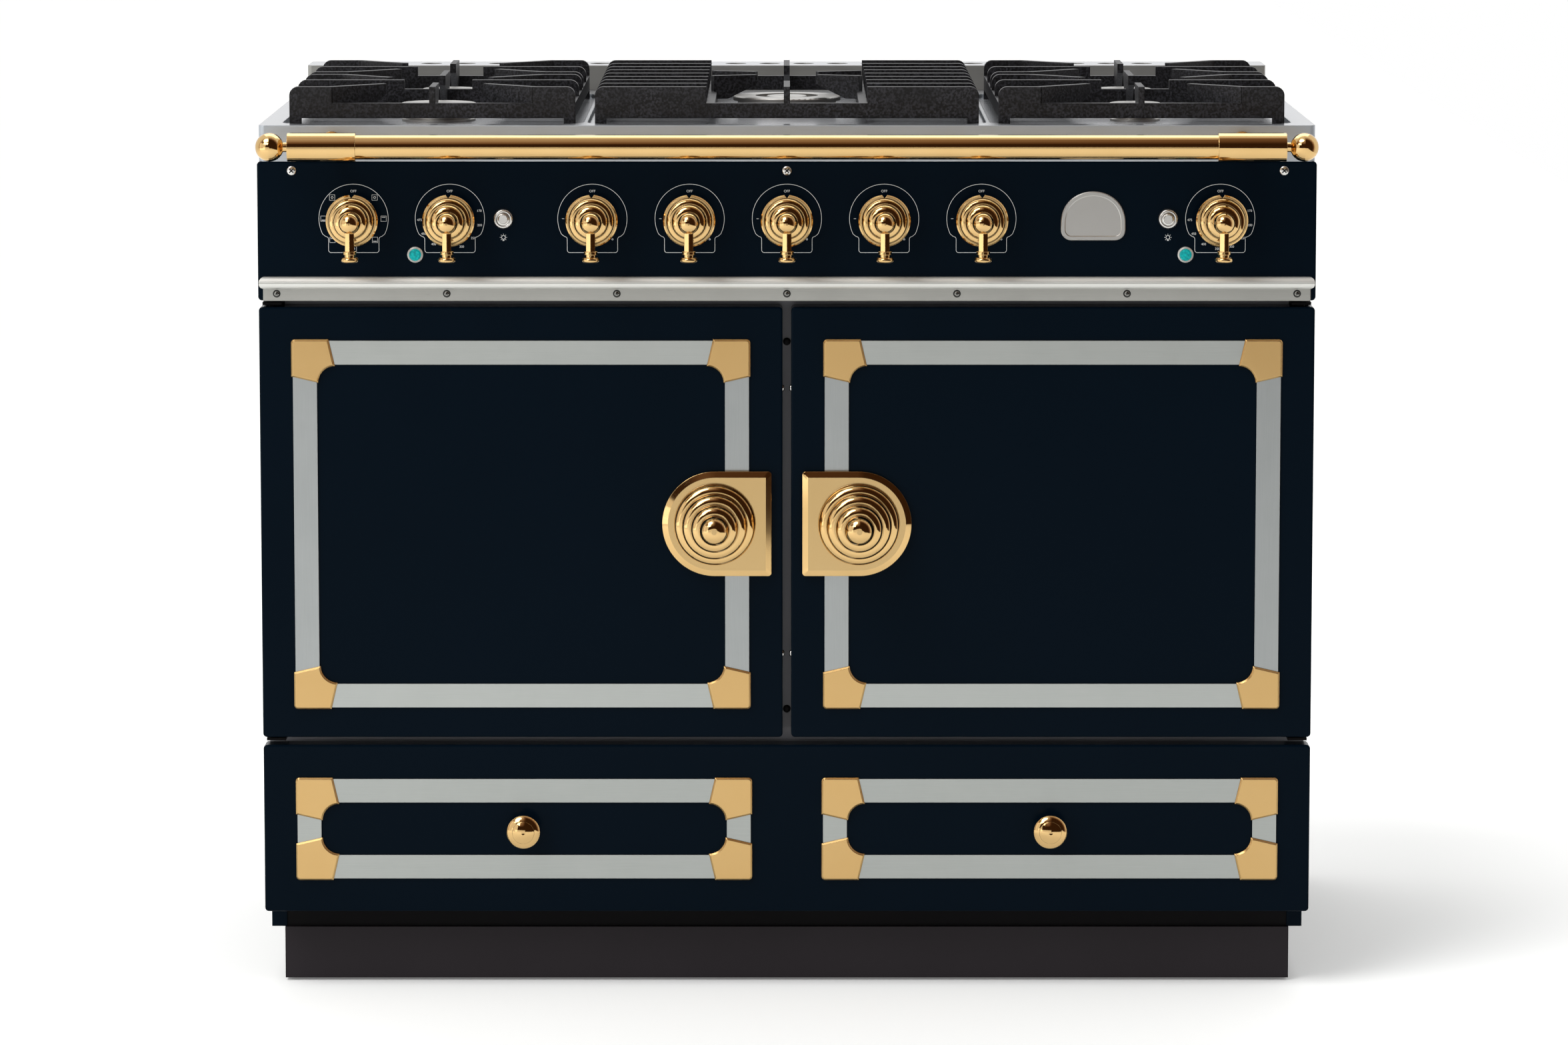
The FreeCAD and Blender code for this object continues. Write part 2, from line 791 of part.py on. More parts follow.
def door_handle(side, near):
    """A D-shaped bevelled plate carrying a stepped dome, and the plate's blank for trimming strips."""
    edge = near + S.handle_edge * side
    middle = edge + S.handle_straight * side
    low = DOOR_MIDDLE - S.handle_radius
    high = DOOR_MIDDLE + S.handle_radius
    turn = "right" if side < 0 else "left"
    round_off = S.handle_corner
    corners = (
        (middle, low, S.handle_radius, turn),
        (middle + S.handle_radius * side, DOOR_MIDDLE, S.handle_radius, turn),
        (middle, high),
        (edge + round_off * side, high, round_off, turn),
        (edge, high - round_off),
        (edge, low + round_off, round_off, turn),
        (edge + round_off * side, low),
    )
    base = extrude(Outline("xz").loop(*corners), FRONT, S.handle_base)
    bevel = extrude(Outline("xz").loop(*corners), FRONT, S.handle_bevel, -S.handle_bevel_angle)
    place(bevel, y=-S.handle_base)
    dome = place(stepped_dome(), middle, -(S.handle_base + S.handle_bevel), DOOR_MIDDLE)
    return fuse(base, bevel, dome), base


def stepped_dome():
    """Four stacked tiers with rounded shoulders, turned about the y axis and facing forward."""
    radii = [S.dome_radius_1, S.dome_radius_2, S.dome_radius_3, S.dome_radius_4]
    rises = [S.dome_rise_1, S.dome_rise_2, S.dome_rise_3, S.dome_rise_4]
    corners = [(0, 0), (radii[0], 0)]
    height = as_size(0)
    for number, (radius, rise) in enumerate(zip(radii, rises)):
        height = height + rise
        last = number == len(radii) - 1
        shoulder = S.dome_tip_round if last else S.dome_round
        inner = radius - shoulder
        corners.append((radius, -(height - shoulder), shoulder, "right"))
        corners.append((inner, -height))
        if not last:
            corners.append((radii[number + 1], -height))
    corners.append((0, -height))
    return turned(*corners)


def drawer():
    """The storage drawer below the ovens, with its trim, knobs and runners."""
    half = S.width / 2 - S.drawer_side_margin
    front = pan("drawer_pan", -half, S.drawer_bottom, half, DRAWER_TOP, S.drawer_front_depth, S.enamel_sheet)
    node(group(front), "drawer_front")

    inset = S.drawer_back_inset
    plate = box(2 * (half - inset), S.drawer_back_plate, S.drawer_height - 2 * inset,
                -(half - inset), 0, S.drawer_bottom + inset)
    rim = extrude(Outline("xz").rounded(-half, S.drawer_bottom, half, DRAWER_TOP, S.pan_corner),
                  BACK, S.drawer_back_plate)
    floor = S.drawer_bottom + S.drawer_box_lift
    wall = S.drawer_wall
    outside = box(DRAWER_BOX_WIDTH, S.drawer_box_depth, S.drawer_box_height,
                  -DRAWER_BOX_WIDTH / 2, S.drawer_back_plate, floor)
    inside = box(DRAWER_BOX_WIDTH - 2 * wall, S.drawer_box_depth - 2 * wall, S.drawer_box_height,
                 wall - DRAWER_BOX_WIDTH / 2, S.drawer_back_plate + wall, floor + wall)
    node(fuse(rim, plate, cut(outside, inside)), "drawer_box", y=S.drawer_front_depth)

    level = S.drawer_bottom + S.drawer_height / 2
    inner = S.drawer_trim_inner
    outer = S.width / 2 - S.drawer_trim_outer
    low = level - S.drawer_trim_height / 2
    high = level + S.drawer_trim_height / 2
    frames = [(-outer, low, -inner, high), (inner, low, outer, high)]
    corners = corner_plates(frames)
    node(cut(trim_frames(frames), corners), "drawer_trim")
    node(group(corners), "drawer_corners")
    middle = (inner + outer) / 2
    node(group(*[place(drawer_knob(), middle * side, 0, level) for side in (-1, 1)]), "drawer_knobs")
    drawer_runners(floor)


def drawer_knob():
    """A turned pull: base rose, neck and a sloped head with a domed button."""
    bulge = S.drawer_knob_round
    dome = S.drawer_knob_dome
    head = S.drawer_knob_radius
    button = S.drawer_knob_button
    dome_radius = (button * button + dome * dome) / (2 * dome)
    step_top = S.drawer_knob_reach - dome
    step_foot = step_top - S.drawer_knob_step
    rim = step_foot - S.drawer_knob_slope_rise
    rose = S.drawer_knob_base - S.drawer_knob_neck
    return turned(
        (0, 0), (S.drawer_knob_base, 0), (S.drawer_knob_base, -rose),
        (S.drawer_knob_neck, -rose), (S.drawer_knob_neck, -(rim - bulge)),
        (head - bulge, -(rim - bulge), bulge, "right"),
        (head, -rim, S.drawer_knob_slope, "right"), (button, -step_foot),
        (button, -step_top, dome_radius, "right"), (0, -S.drawer_knob_reach))


def drawer_runners(floor):
    """Bent steel angles on the base tray that carry and guide the drawer box."""
    runners = []
    start = FRAME_BACK + S.runner_end_gap
    length = BACK_FRONT - start - S.runner_end_gap
    for side in (-1, 1):
        wall = (DRAWER_BOX_WIDTH / 2 + S.runner_clearance) * side
        top = floor - S.runner_clearance
        thick = S.runner_sheet
        outline = Outline("xz").loop(
            (wall - S.runner_ledge * side, top - thick), (wall, top - thick),
            (wall, BASE_TOP), (wall + S.runner_foot * side, BASE_TOP),
            (wall + S.runner_foot * side, BASE_TOP + thick), (wall + thick * side, BASE_TOP + thick),
            (wall + thick * side, top + S.runner_guide), (wall, top + S.runner_guide),
            (wall, top), (wall - S.runner_ledge * side, top))
        runners.append(place(extrude(outline, BACK, length), y=start))
    node(group(*runners), "drawer_runners")


def casing():
    """Side panels, back, base tray, plinth, feet, front frame and hinge brackets."""
    wall = S.casing_sheet
    for side in (-1, 1):
        outer = SIDE_OUTER * side
        inner = SIDE_INNER * side
        lip = (SIDE_OUTER - S.side_flange) * side
        profile = Outline("xy").loop(
            (outer, FRAME_BACK), (outer, S.body_depth), (lip, S.body_depth),
            (lip, S.body_depth - wall), (inner, S.body_depth - wall),
            (inner, FRAME_BACK + wall), (lip, FRAME_BACK + wall), (lip, FRAME_BACK))
        panel = extrude(profile, UP, PANEL_TOP - S.base_underside)
        node(group(panel), f"side_panel_{side_name(side)}", z=S.base_underside)
    back_panel()
    base()
    front_frame()
    hinge_brackets()


def back_panel():
    """A flat back with louvre slots, the gas inlet hole and two holes for an anti-tip bracket."""
    outline = Outline("xz").square(-SIDE_INNER, S.base_underside, SIDE_INNER, PANEL_TOP)
    manifold = KNOB_LEVEL - S.manifold_drop
    outline.circle(SIDE_OUTER - S.gas_inlet_side, manifold, S.gas_hole_radius)
    bolt_level = PANEL_TOP - S.bracket_hole_drop
    for side in (-1, 1):
        outline.circle(S.bracket_hole_spacing / 2 * side, bolt_level, S.bracket_hole_radius)
        middle = (S.louvre_inner + S.louvre_length / 2) * side
        for number in range(LOUVRES):
            top = PANEL_TOP - S.louvre_drop - S.louvre_pitch * number
            outline.square(middle - S.louvre_length / 2, top - S.louvre_height,
                           middle + S.louvre_length / 2, top)
    node(extrude(outline, BACK, S.casing_sheet), "back_panel", y=BACK_FRONT)


def base():
    """The base tray, the plinth board hung below its front edge, and the levelling feet."""
    front = FRAME_BACK + S.casing_sheet
    wall = S.base_sheet
    outside = box(2 * SIDE_INNER, BACK_FRONT - front, S.base_height, -SIDE_INNER, front, S.base_underside)
    inside = box(2 * (SIDE_INNER - wall), BACK_FRONT - front - 2 * wall, S.base_height,
                 wall - SIDE_INNER, front + wall, S.base_underside - wall)
    node(cut(outside, inside), "base_tray")

    height = S.base_underside - S.plinth_floor_gap
    board = box(PLINTH_WIDTH, S.plinth_sheet, height, -PLINTH_WIDTH / 2, S.plinth_setback,
                S.plinth_floor_gap)
    ledge = box(PLINTH_WIDTH, S.plinth_ledge, S.plinth_sheet, -PLINTH_WIDTH / 2, S.plinth_setback,
                S.base_underside - S.plinth_sheet)
    hem = box(PLINTH_WIDTH, S.plinth_ledge, S.plinth_sheet, -PLINTH_WIDTH / 2, S.plinth_setback,
              S.plinth_floor_gap)
    node(fuse(board, ledge, hem), "plinth")

    feet = []
    for side in (-1, 1):
        for y in (S.foot_inset_front, S.body_depth - S.foot_inset_back):
            foot = turned(
                (0, 0), (S.foot_radius, 0), (S.foot_radius, S.foot_pad),
                (S.foot_collar_radius, S.foot_pad + S.foot_collar / 2),
                (S.foot_collar_radius, S.foot_pad + S.foot_collar),
                (S.foot_stem, S.foot_pad + S.foot_collar),
                (S.foot_stem, BASE_TOP - S.base_sheet), (0, BASE_TOP - S.base_sheet))
            feet.append(place(foot, (SIDE_INNER - S.foot_inset_x) * side, y, 0, TURNED_TO["z"]))
    node(group(*feet), "levelling_feet")


def front_frame():
    """The plate behind the doors, with both oven mouths, the centre post and the controls' window."""
    outline = Outline("xz").square(-SIDE_OUTER, DRAWER_TOP - S.frame_drop, SIDE_OUTER, PANEL_TOP)
    half = CAVITY_WIDTH / 2 + S.cavity_sheet + S.cavity_frame_gap
    rise = S.cavity_height / 2 + S.cavity_sheet + S.cavity_frame_gap
    for side in (-1, 1):
        outline.square(DOOR_CENTRE * side - half, DOOR_MIDDLE - rise,
                       DOOR_CENTRE * side + half, DOOR_MIDDLE + rise)
    window = SIDE_OUTER - S.frame_window_side
    outline.square(-window, PANEL_BOTTOM + S.frame_window_edge, window, PANEL_TOP - S.frame_window_edge)
    node(extrude(outline, BACK, S.frame_sheet), "front_frame", y=FRAME_FRONT)


def hinge_brackets():
    """Four angle brackets on the frame whose pins enter the tops and bottoms of the doors."""
    brackets = []
    half = S.hinge_plate_width / 2
    start = S.door_depth / 2 - S.hinge_plate_front
    for side in (-1, 1):
        pivot = (S.door_centre_gap / 2 + DOOR_WIDTH - S.hinge_inset) * side
        for level, upward in ((DOOR_TOP, 1), (DOOR_BOTTOM, -1)):
            plate_edge = level + S.hinge_plate_gap * upward
            plate_far = plate_edge + S.hinge_plate * upward
            leaf_edge = plate_far - S.hinge_leaf_height * upward
            low, high = (plate_edge, plate_far) if upward > 0 else (plate_far, plate_edge)
            leaf_low, leaf_high = (leaf_edge, plate_far) if upward > 0 else (plate_far, leaf_edge)
            plate = box(S.hinge_plate_width, FRAME_FRONT - start, high - low, pivot - half, start, low)
            leaf = box(S.hinge_plate_width, S.hinge_plate, leaf_high - leaf_low,
                       pivot - half, FRAME_FRONT - S.hinge_plate, leaf_low)
            pin_low = level - S.hinge_pin_depth if upward > 0 else low
            pin = rod(S.hinge_pin_radius, S.hinge_pin_depth + S.hinge_plate_gap + S.hinge_plate,
                      pivot, S.door_depth / 2, pin_low)
            brackets.append(fuse(plate, leaf, pin))
    node(group(*brackets), "hinge_brackets")


def ovens():
    """Both cavities with seals, shelf guides, shelves, fans, fan covers, motors and elements."""
    guides = []
    shelves = []
    seals = []
    covers = []
    motors = []
    elements = []
    for side in (-1, 1):
        middle = DOOR_CENTRE * side
        oven_cavity(side, middle)
        seals.append(oven_seal(middle))
        shelves.append(wire_shelf(middle))
        guides.extend(shelf_guide(middle, hand) for hand in (-1, 1))
        covers.append(fan_cover(side, middle))
        motors.append(fan_motor(middle))
        elements.append(ring_element(middle))
        oven_fan(side, middle)
    elements.append(grill_element(-DOOR_CENTRE))
    node(group(*seals), "oven_seals")
    node(group(*guides, *shelves), "oven_racks")
    node(group(*covers, *motors), "fan_housings")
    node(group(*elements), "heating_elements")


def oven_cavity(side, middle):
    """An enamelled box with a lip round its mouth and a hole for the fan's shaft."""
    wall = S.cavity_sheet
    half = CAVITY_WIDTH / 2
    rise = S.cavity_height / 2
    outside = box(CAVITY_WIDTH + 2 * wall, S.cavity_depth + wall, S.cavity_height + 2 * wall,
                  middle - half - wall, FRAME_FRONT, DOOR_MIDDLE - rise - wall)
    lip = box(CAVITY_WIDTH + 2 * S.cavity_lip, wall, S.cavity_height + 2 * S.cavity_lip,
              middle - half - S.cavity_lip, FRAME_FRONT - wall, DOOR_MIDDLE - rise - S.cavity_lip)
    inside = box(CAVITY_WIDTH, S.cavity_depth + S.overrun, S.cavity_height,
                 middle - half, FRAME_FRONT - S.overrun, DOOR_MIDDLE - rise)
    hole = rod(S.motor_hole, wall + 2 * S.overrun, middle, CAVITY_BACK - S.overrun, DOOR_MIDDLE, "y")
    node(cut(fuse(outside, lip), inside, hole), f"oven_cavity_{side_name(side)}")


def oven_seal(middle):
    """A ring of gasket on the lip, just clear of the closed door."""
    half = CAVITY_WIDTH / 2 + S.seal_inset
    rise = S.cavity_height / 2 + S.seal_inset
    wide = S.seal_width
    outline = Outline("xz")
    outline.rounded(middle - half - wide, DOOR_MIDDLE - rise - wide,
                    middle + half + wide, DOOR_MIDDLE + rise + wide, S.seal_corner)
    outline.rounded(middle - half, DOOR_MIDDLE - rise, middle + half, DOOR_MIDDLE + rise,
                    S.seal_corner - wide)
    return place(extrude(outline, BACK, S.seal_thickness), y=DOOR_BACK + S.seal_clearance)


def shelf_guide(middle, hand):
    """A wire ladder against one side wall: two uprights and rungs for the shelf."""
    wall = middle + CAVITY_WIDTH / 2 * hand
    upright = wall - (S.guide_rod + S.guide_wall_gap) * hand
    rung = upright - 2 * S.guide_rod * hand
    foot = DOOR_MIDDLE - S.guide_height / 2
    start = FRAME_FRONT + S.guide_inset
    end = CAVITY_BACK - S.shelf_end_gap
    wires = [rod(S.guide_rod, S.guide_height, upright, y, foot) for y in (start, end)]
    reach = S.guide_rod * 2
    for number in range(GUIDE_RUNGS):
        level = DOOR_MIDDLE + S.guide_pitch * (number - (GUIDE_RUNGS - 1) / 2)
        wires.append(rod(S.guide_rod, end - start + 2 * reach, rung, start - reach, level, "y"))
        wires.extend(rod(S.guide_rod, 2 * S.guide_rod, as_rung(rung, hand), y, level, "x")
                     for y in (start, end))
    return fuse(*wires)


def as_rung(rung, hand):
    """Where the short tie between a rung and its upright starts."""
    return rung if hand > 0 else rung - 2 * S.guide_rod


def wire_shelf(middle):
    """A wire shelf on the middle rungs: two side rods, end rods and many thin wires."""
    level = DOOR_MIDDLE + S.guide_rod + S.shelf_seat + S.shelf_rod
    half = CAVITY_WIDTH / 2 - S.shelf_offset
    start = FRAME_FRONT + S.shelf_front_gap
    end = CAVITY_BACK - S.shelf_end_gap
    wires = [rod(S.shelf_rod, end - start, middle + half * hand, start, level, "y") for hand in (-1, 1)]
    wires.extend(rod(S.shelf_rod, 2 * half, middle - half, y, level, "x")
                 for y in (start + S.shelf_rod, end - S.shelf_rod))
    for number in range(SHELF_WIRES):
        x = middle + half * (2 * (number + 1) / (SHELF_WIRES + 1) - 1)
        wires.append(rod(S.shelf_wire, end - start - 2 * S.shelf_rod, x, start + S.shelf_rod, level, "y"))
    return fuse(*wires)


def fan_cover(side, middle):
    """A dished plate over the fan with two rings of air holes."""
    half = S.fan_cover_size / 2
    body = doc.addObject("PartDesign::Body", f"fan_cover_{side_name(side)}")
    face = Outline(body=body, role="XZ_Plane").rounded(-half, -half, half, half, S.fan_cover_corner)
    pad = body.newObject("PartDesign::Pad", "dish")
    pad.Profile = face.sketch
    pad.Reversed = True
    bind(pad, "Length", S.fan_cover_depth)
    inner = half - S.cavity_sheet
    hollow = Outline(body=body, role="XZ_Plane", offset=-S.cavity_sheet)
    hollow.rounded(-inner, -inner, inner, inner, S.fan_cover_corner - S.cavity_sheet)
    pocket = body.newObject("PartDesign::Pocket", "hollow")
    pocket.Profile = hollow.sketch
    pocket.Type = "ThroughAll"
    holes = Outline(body=body, role="XZ_Plane")
    holes.circle(0, S.fan_slot_ring, S.fan_slot_radius)
    holes.circle(0, S.fan_slot_inner_ring, S.fan_slot_radius)
    bores = body.newObject("PartDesign::Pocket", "air_holes")
    bores.Profile = holes.sketch
    bores.Type = "ThroughAll"
    ring = body.newObject("PartDesign::PolarPattern", "rings_of_holes")
    ring.Originals = [bores]
    axis = next(item for item in body.Origin.OriginFeatures if item.Role == "Y_Axis")
    ring.Axis = (axis, [""])
    ring.Angle = 360
    ring.Occurrences = FAN_BLADES
    body.Tip = ring
    return place(body, middle, CAVITY_BACK - S.fan_cover_depth, DOOR_MIDDLE)


def fan_motor(middle):
    """A round motor on the outside of the rear wall, bored for the fan's shaft."""
    start = CAVITY_BACK + S.cavity_sheet
    case = rod(S.motor_radius, S.motor_length, middle, start, DOOR_MIDDLE, "y")
    bore = rod(S.fan_shaft + S.pin_clearance, S.fan_shaft_grip + S.overrun + S.cavity_sheet,
               middle, CAVITY_BACK, DOOR_MIDDLE, "y")
    return cut(case, bore)


def oven_fan(side, middle):
    """A disc with upright blades round its rim, a hub and the shaft that runs in the motor."""
    back = CAVITY_BACK - S.fan_wall_gap
    disc = rod(S.fan_radius, S.fan_disc, 0, back - S.fan_disc, 0, "y")
    hub = rod(S.fan_hub, S.fan_blade_depth / 2, 0, back - S.fan_disc - S.fan_blade_depth / 2, 0, "y")
    shaft = rod(S.fan_shaft, S.fan_wall_gap + S.cavity_sheet + S.fan_shaft_grip, 0, back, 0, "y")
    blades = []
    for number in range(FAN_BLADES):
        turn = 360 * number / FAN_BLADES
        vane = box(S.fan_blade_sheet, S.fan_blade_depth, S.fan_blade_width, 0, 0, 0)
        reach = S.fan_radius - S.fan_blade_width
        angle = math.radians(turn)
        blades.append(place(vane, reach * math.sin(angle), back - S.fan_disc - S.fan_blade_depth,
                            reach * math.cos(angle), Rotation(Vector(0, 1, 0), turn)))
    node(fuse(disc, hub, shaft, *blades), f"oven_fan_{side_name(side)}", x=middle, z=DOOR_MIDDLE)


def ring_element(middle):
    """A tubular ring round the fan, open at one side, on two terminals from the rear wall."""
    y = CAVITY_BACK - S.element_wall_gap
    ring = doc.addObject("Part::Torus", "ring")
    bind(ring, "Radius1", S.element_radius)
    bind(ring, "Radius2", S.element_rod)
    bind(ring, "Angle3", 360 - S.element_gap)
    place(ring, middle, y, DOOR_MIDDLE, ALONG["y"])
    level_end = (S.element_radius, as_size(0))
    raised_end = (S.element_radius * cosine(S.element_gap), S.element_radius * sine(S.element_gap))
    terminals = [
        rod(S.element_terminal, S.element_wall_gap + S.element_terminal, middle + along,
            y - S.element_terminal, DOOR_MIDDLE + rise, "y")
        for along, rise in (level_end, raised_end)]
    return fuse(ring, *terminals)


def grill_element(middle):
    """A looped tube below the roof, fixed in the rear wall."""
    level = DOOR_MIDDLE + S.cavity_height / 2 - S.grill_drop
    radius = S.grill_pitch / 2
    start = CAVITY_BACK - S.grill_reach
    tubes = []
    short = S.grill_reach - S.shelf_end_gap
    for number in range(GRILL_TUBES):
        x = middle + S.grill_pitch * (number - (GRILL_TUBES - 1) / 2)
        outermost = number in (0, GRILL_TUBES - 1)
        tubes.append(rod(S.element_rod, S.grill_reach if outermost else short, x, start, level, "y"))
    for hand in (-1, 1):
        tubes.append(half_ring(radius, middle + S.grill_pitch * hand, start, level, -1))
    tubes.append(half_ring(radius, middle, start + short, level, 1))
    return fuse(*tubes)


def half_ring(radius, x, y, z, direction):
    """Half of a tube ring in a level plane, bulging forward (-1) or back (1)."""
    bend = doc.addObject("Part::Torus", "bend")
    bind(bend, "Radius1", radius)
    bind(bend, "Radius2", S.element_rod)
    bend.Angle3 = 180
    return place(bend, x, y, z, Rotation(Vector(0, 0, 1), 0 if direction > 0 else 180))


KNOBS = {
    "selector": -OVEN_KNOB_X,
    "left_oven": -THERMOSTAT_X,
    "burner_1": -KNOB_PITCH * 2,
    "burner_2": -KNOB_PITCH,
    "burner_3": 0,
    "burner_4": KNOB_PITCH,
    "burner_5": KNOB_PITCH * 2,
    "right_oven": OVEN_KNOB_X,
}
BUTTONS = {"left": S.button_thermostat_gap - THERMOSTAT_X, "right": OVEN_KNOB_X - S.button_knob_gap}
LAMPS = (-(THERMOSTAT_X + S.lamp_thermostat_gap), OVEN_KNOB_X - S.lamp_knob_gap)


def controls():
    """The panel with its trim, knobs, taps, oven controls, buttons and lamps."""
    holes = [(x, KNOB_LEVEL, S.panel_hole) for x in KNOBS.values()]
    holes.extend((x, KNOB_LEVEL, S.button_radius + S.button_gap) for x in BUTTONS.values())
    holes.extend((x, KNOB_LEVEL - S.lamp_drop, S.lamp_radius) for x in LAMPS)
    panel = pan("panel_pan", -S.width / 2, PANEL_BOTTOM, S.width / 2, PANEL_TOP,
                S.panel_depth, S.enamel_sheet, holes)
    node(group(panel), "control_panel")
    panel_trim()
    taps = []
    boxes = []
    for name, x in KNOBS.items():
        gas = name.startswith("burner")
        knob(name, x, gas)
        if gas:
            taps.append(tap_body(x))
            tap_cone(name, x)
        else:
            boxes.append(oven_control(x))
    for side, x in BUTTONS.items():
        light_button(side, x)
        boxes.append(light_switch(x))
    node(group(*boxes), "oven_controls")
    node(group(manifold(), *taps), "gas_manifold")


def panel_trim():
    """The steel strip with a bullnose along the panel's foot, and the bezels of buttons and lamps."""
    low = PANEL_BOTTOM
    shoulder = low + S.strip_height - S.strip_nose
    radius = S.strip_nose / 2
    flat_half = S.width / 2 - S.strip_flat_end
    nose_half = S.width / 2 - S.strip_nose_end
    flat = extrude(Outline("yz").square(-S.strip_sheet, low, 0, shoulder), RIGHT, 2 * flat_half)
    nose = extrude(
        Outline("yz").loop(
            (0, shoulder), (0, shoulder + S.strip_nose),
            (-(S.strip_reach - radius), shoulder + S.strip_nose, radius, "left"),
            (-S.strip_reach, shoulder + radius, radius, "left"),
            (-(S.strip_reach - radius), shoulder)),
        RIGHT, 2 * nose_half)
    rounded_ends = extrude(
        Outline("xz").rounded(-nose_half, shoulder, nose_half, shoulder + S.strip_nose,
                              S.strip_nose_round),
        FRONT, S.strip_reach)
    strip = fuse(place(flat, x=-flat_half), common(place(nose, x=-nose_half), rounded_ends))
    pieces = [strip]
    for x in BUTTONS.values():
        hole = S.button_radius + S.button_gap
        step = S.button_bezel_step
        ring = turned(
            (hole, 0), (S.button_bezel_radius, 0), (S.button_bezel_radius, -step),
            (S.button_bezel_radius - step, -S.button_bezel_reach), (hole, -S.button_bezel_reach))
        pieces.append(place(ring, x, 0, KNOB_LEVEL))
    for x in LAMPS:
        ring = turned(
            (S.lamp_radius, 0), (S.lamp_bezel_radius, 0), (S.lamp_bezel_radius, -S.lamp_bezel_reach / 2),
            (S.lamp_bezel_radius - S.lamp_bezel_reach / 2, -S.lamp_bezel_reach),
            (S.lamp_radius, -S.lamp_bezel_reach))
        pieces.append(place(ring, x, 0, KNOB_LEVEL - S.lamp_drop))
    node(group(*pieces), "panel_trim")

    lenses = []
    for x in LAMPS:
        edge = S.lamp_reach - S.lamp_bezel_reach
        lens = turned(
            (0, S.lamp_tail), (0, -S.lamp_reach), (S.lamp_radius - edge, -S.lamp_reach, edge, "right"),
            (S.lamp_radius, -S.lamp_bezel_reach), (S.lamp_radius, S.lamp_tail))
        lenses.append(place(lens, x, 0, KNOB_LEVEL - S.lamp_drop))
    node(group(*lenses), "pilot_lamps")


def knob(name, x, gas):
    """A turned knob with a ball and a lever hanging from it, on its spindle."""
    bore = S.spindle_radius + S.pin_clearance
    ball = S.knob_ball
    neck_drop = root(ball * ball - S.knob_ball_neck * S.knob_ball_neck)
    bevel = S.knob_ring_bevel
    head = turned(
        (bore, -S.knob_gap), (S.knob_neck, -S.knob_gap), (S.knob_neck, -S.knob_ring_back),
        (S.knob_ring - bevel, -S.knob_ring_back), (S.knob_ring, -(S.knob_ring_back + bevel)),
        (S.knob_ring, -(S.knob_ring_front - bevel)), (S.knob_ring - bevel, -S.knob_ring_front),
        (S.knob_step, -S.knob_ring_front),
        (S.knob_step, -(S.knob_step_front - S.knob_step_round), S.knob_step_round, "right"),
        (S.knob_step - S.knob_step_round, -S.knob_step_front), (S.knob_dome, -S.knob_step_front),
        (S.knob_dome, -(S.knob_dome_front - S.knob_dome_round), S.knob_dome_round, "right"),
        (S.knob_dome - S.knob_dome_round, -S.knob_dome_front), (S.knob_ball_neck, -S.knob_dome_front),
        (S.knob_ball_neck, -(S.knob_ball_reach - neck_drop), ball, "right"),
        (ball, -S.knob_ball_reach, ball, "right"),
        (0, -(S.knob_ball_reach + ball)), (0, -S.knob_bore_depth), (bore, -S.knob_bore_depth))
    notch = extrude(
        Outline("xz").loop((-S.knob_notch_width / 2, S.knob_ring + S.overrun),
                           (-S.knob_notch_width / 2, S.knob_ring),
                           (0, S.knob_ring - S.knob_notch_depth),
                           (S.knob_notch_width / 2, S.knob_ring),
                           (S.knob_notch_width / 2, S.knob_ring + S.overrun)),
        FRONT, S.knob_ring_front - S.knob_ring_back + 2 * S.overrun)
    place(notch, y=-(S.knob_ring_back - S.overrun))
    casting = cut(fuse(head, lever()), notch)
    tail = S.cone_start - S.push_travel if gas else S.spindle_tail
    start = -S.knob_bore_depth
    spindle = rod(S.spindle_radius, tail - start, 0, start, 0, "y")
    if gas:
        tang = box(S.tang_width, S.tang_length + S.push_travel, S.tang_thickness,
                   -S.tang_width / 2, tail, -S.tang_thickness / 2)
        spindle = fuse(spindle, tang)
    node(group(casting, spindle), f"knob_{name}", x=x, z=KNOB_LEVEL)


def lever():
    """A six-sided shank hanging from the ball, with a collar, a waist and a domed foot."""
    shank = doc.addObject("Part::Prism", "shank")
    shank.Polygon = LEVER_SIDES
    collar_top = S.lever_length - S.lever_foot_thick - 2 * S.lever_collar_thick
    bind(shank, "Circumradius", S.lever_across / 2 / cosine(as_size(180) / LEVER_SIDES))
    bind(shank, "Height", collar_top - S.lever_start + S.lever_collar_thick / 2)
    edge_in_front = Rotation(Vector(0, 0, 1), 180 / LEVER_SIDES)
    place(shank, 0, -S.knob_ball_reach, -(collar_top + S.lever_collar_thick / 2), edge_in_front)
    collar_foot = collar_top + S.lever_collar_thick
    foot_top = S.lever_length - S.lever_foot_thick
    soft = S.lever_foot_round
    foot = turned(
        (0, -collar_top), (S.lever_collar_radius, -collar_top), (S.lever_collar_radius, -collar_foot),
        (S.lever_waist_radius, -collar_foot), (S.lever_waist_radius, -foot_top),
        (S.lever_foot_radius - soft, -foot_top, soft, "right"),
        (S.lever_foot_radius, -(foot_top + soft)),
        (S.lever_foot_radius, -(S.lever_length - soft), soft, "right"),
        (S.lever_foot_radius - soft, -S.lever_length), (0, -S.lever_length))
    place(foot, 0, -S.knob_ball_reach, 0, TURNED_TO["z"])
    return fuse(shank, foot)


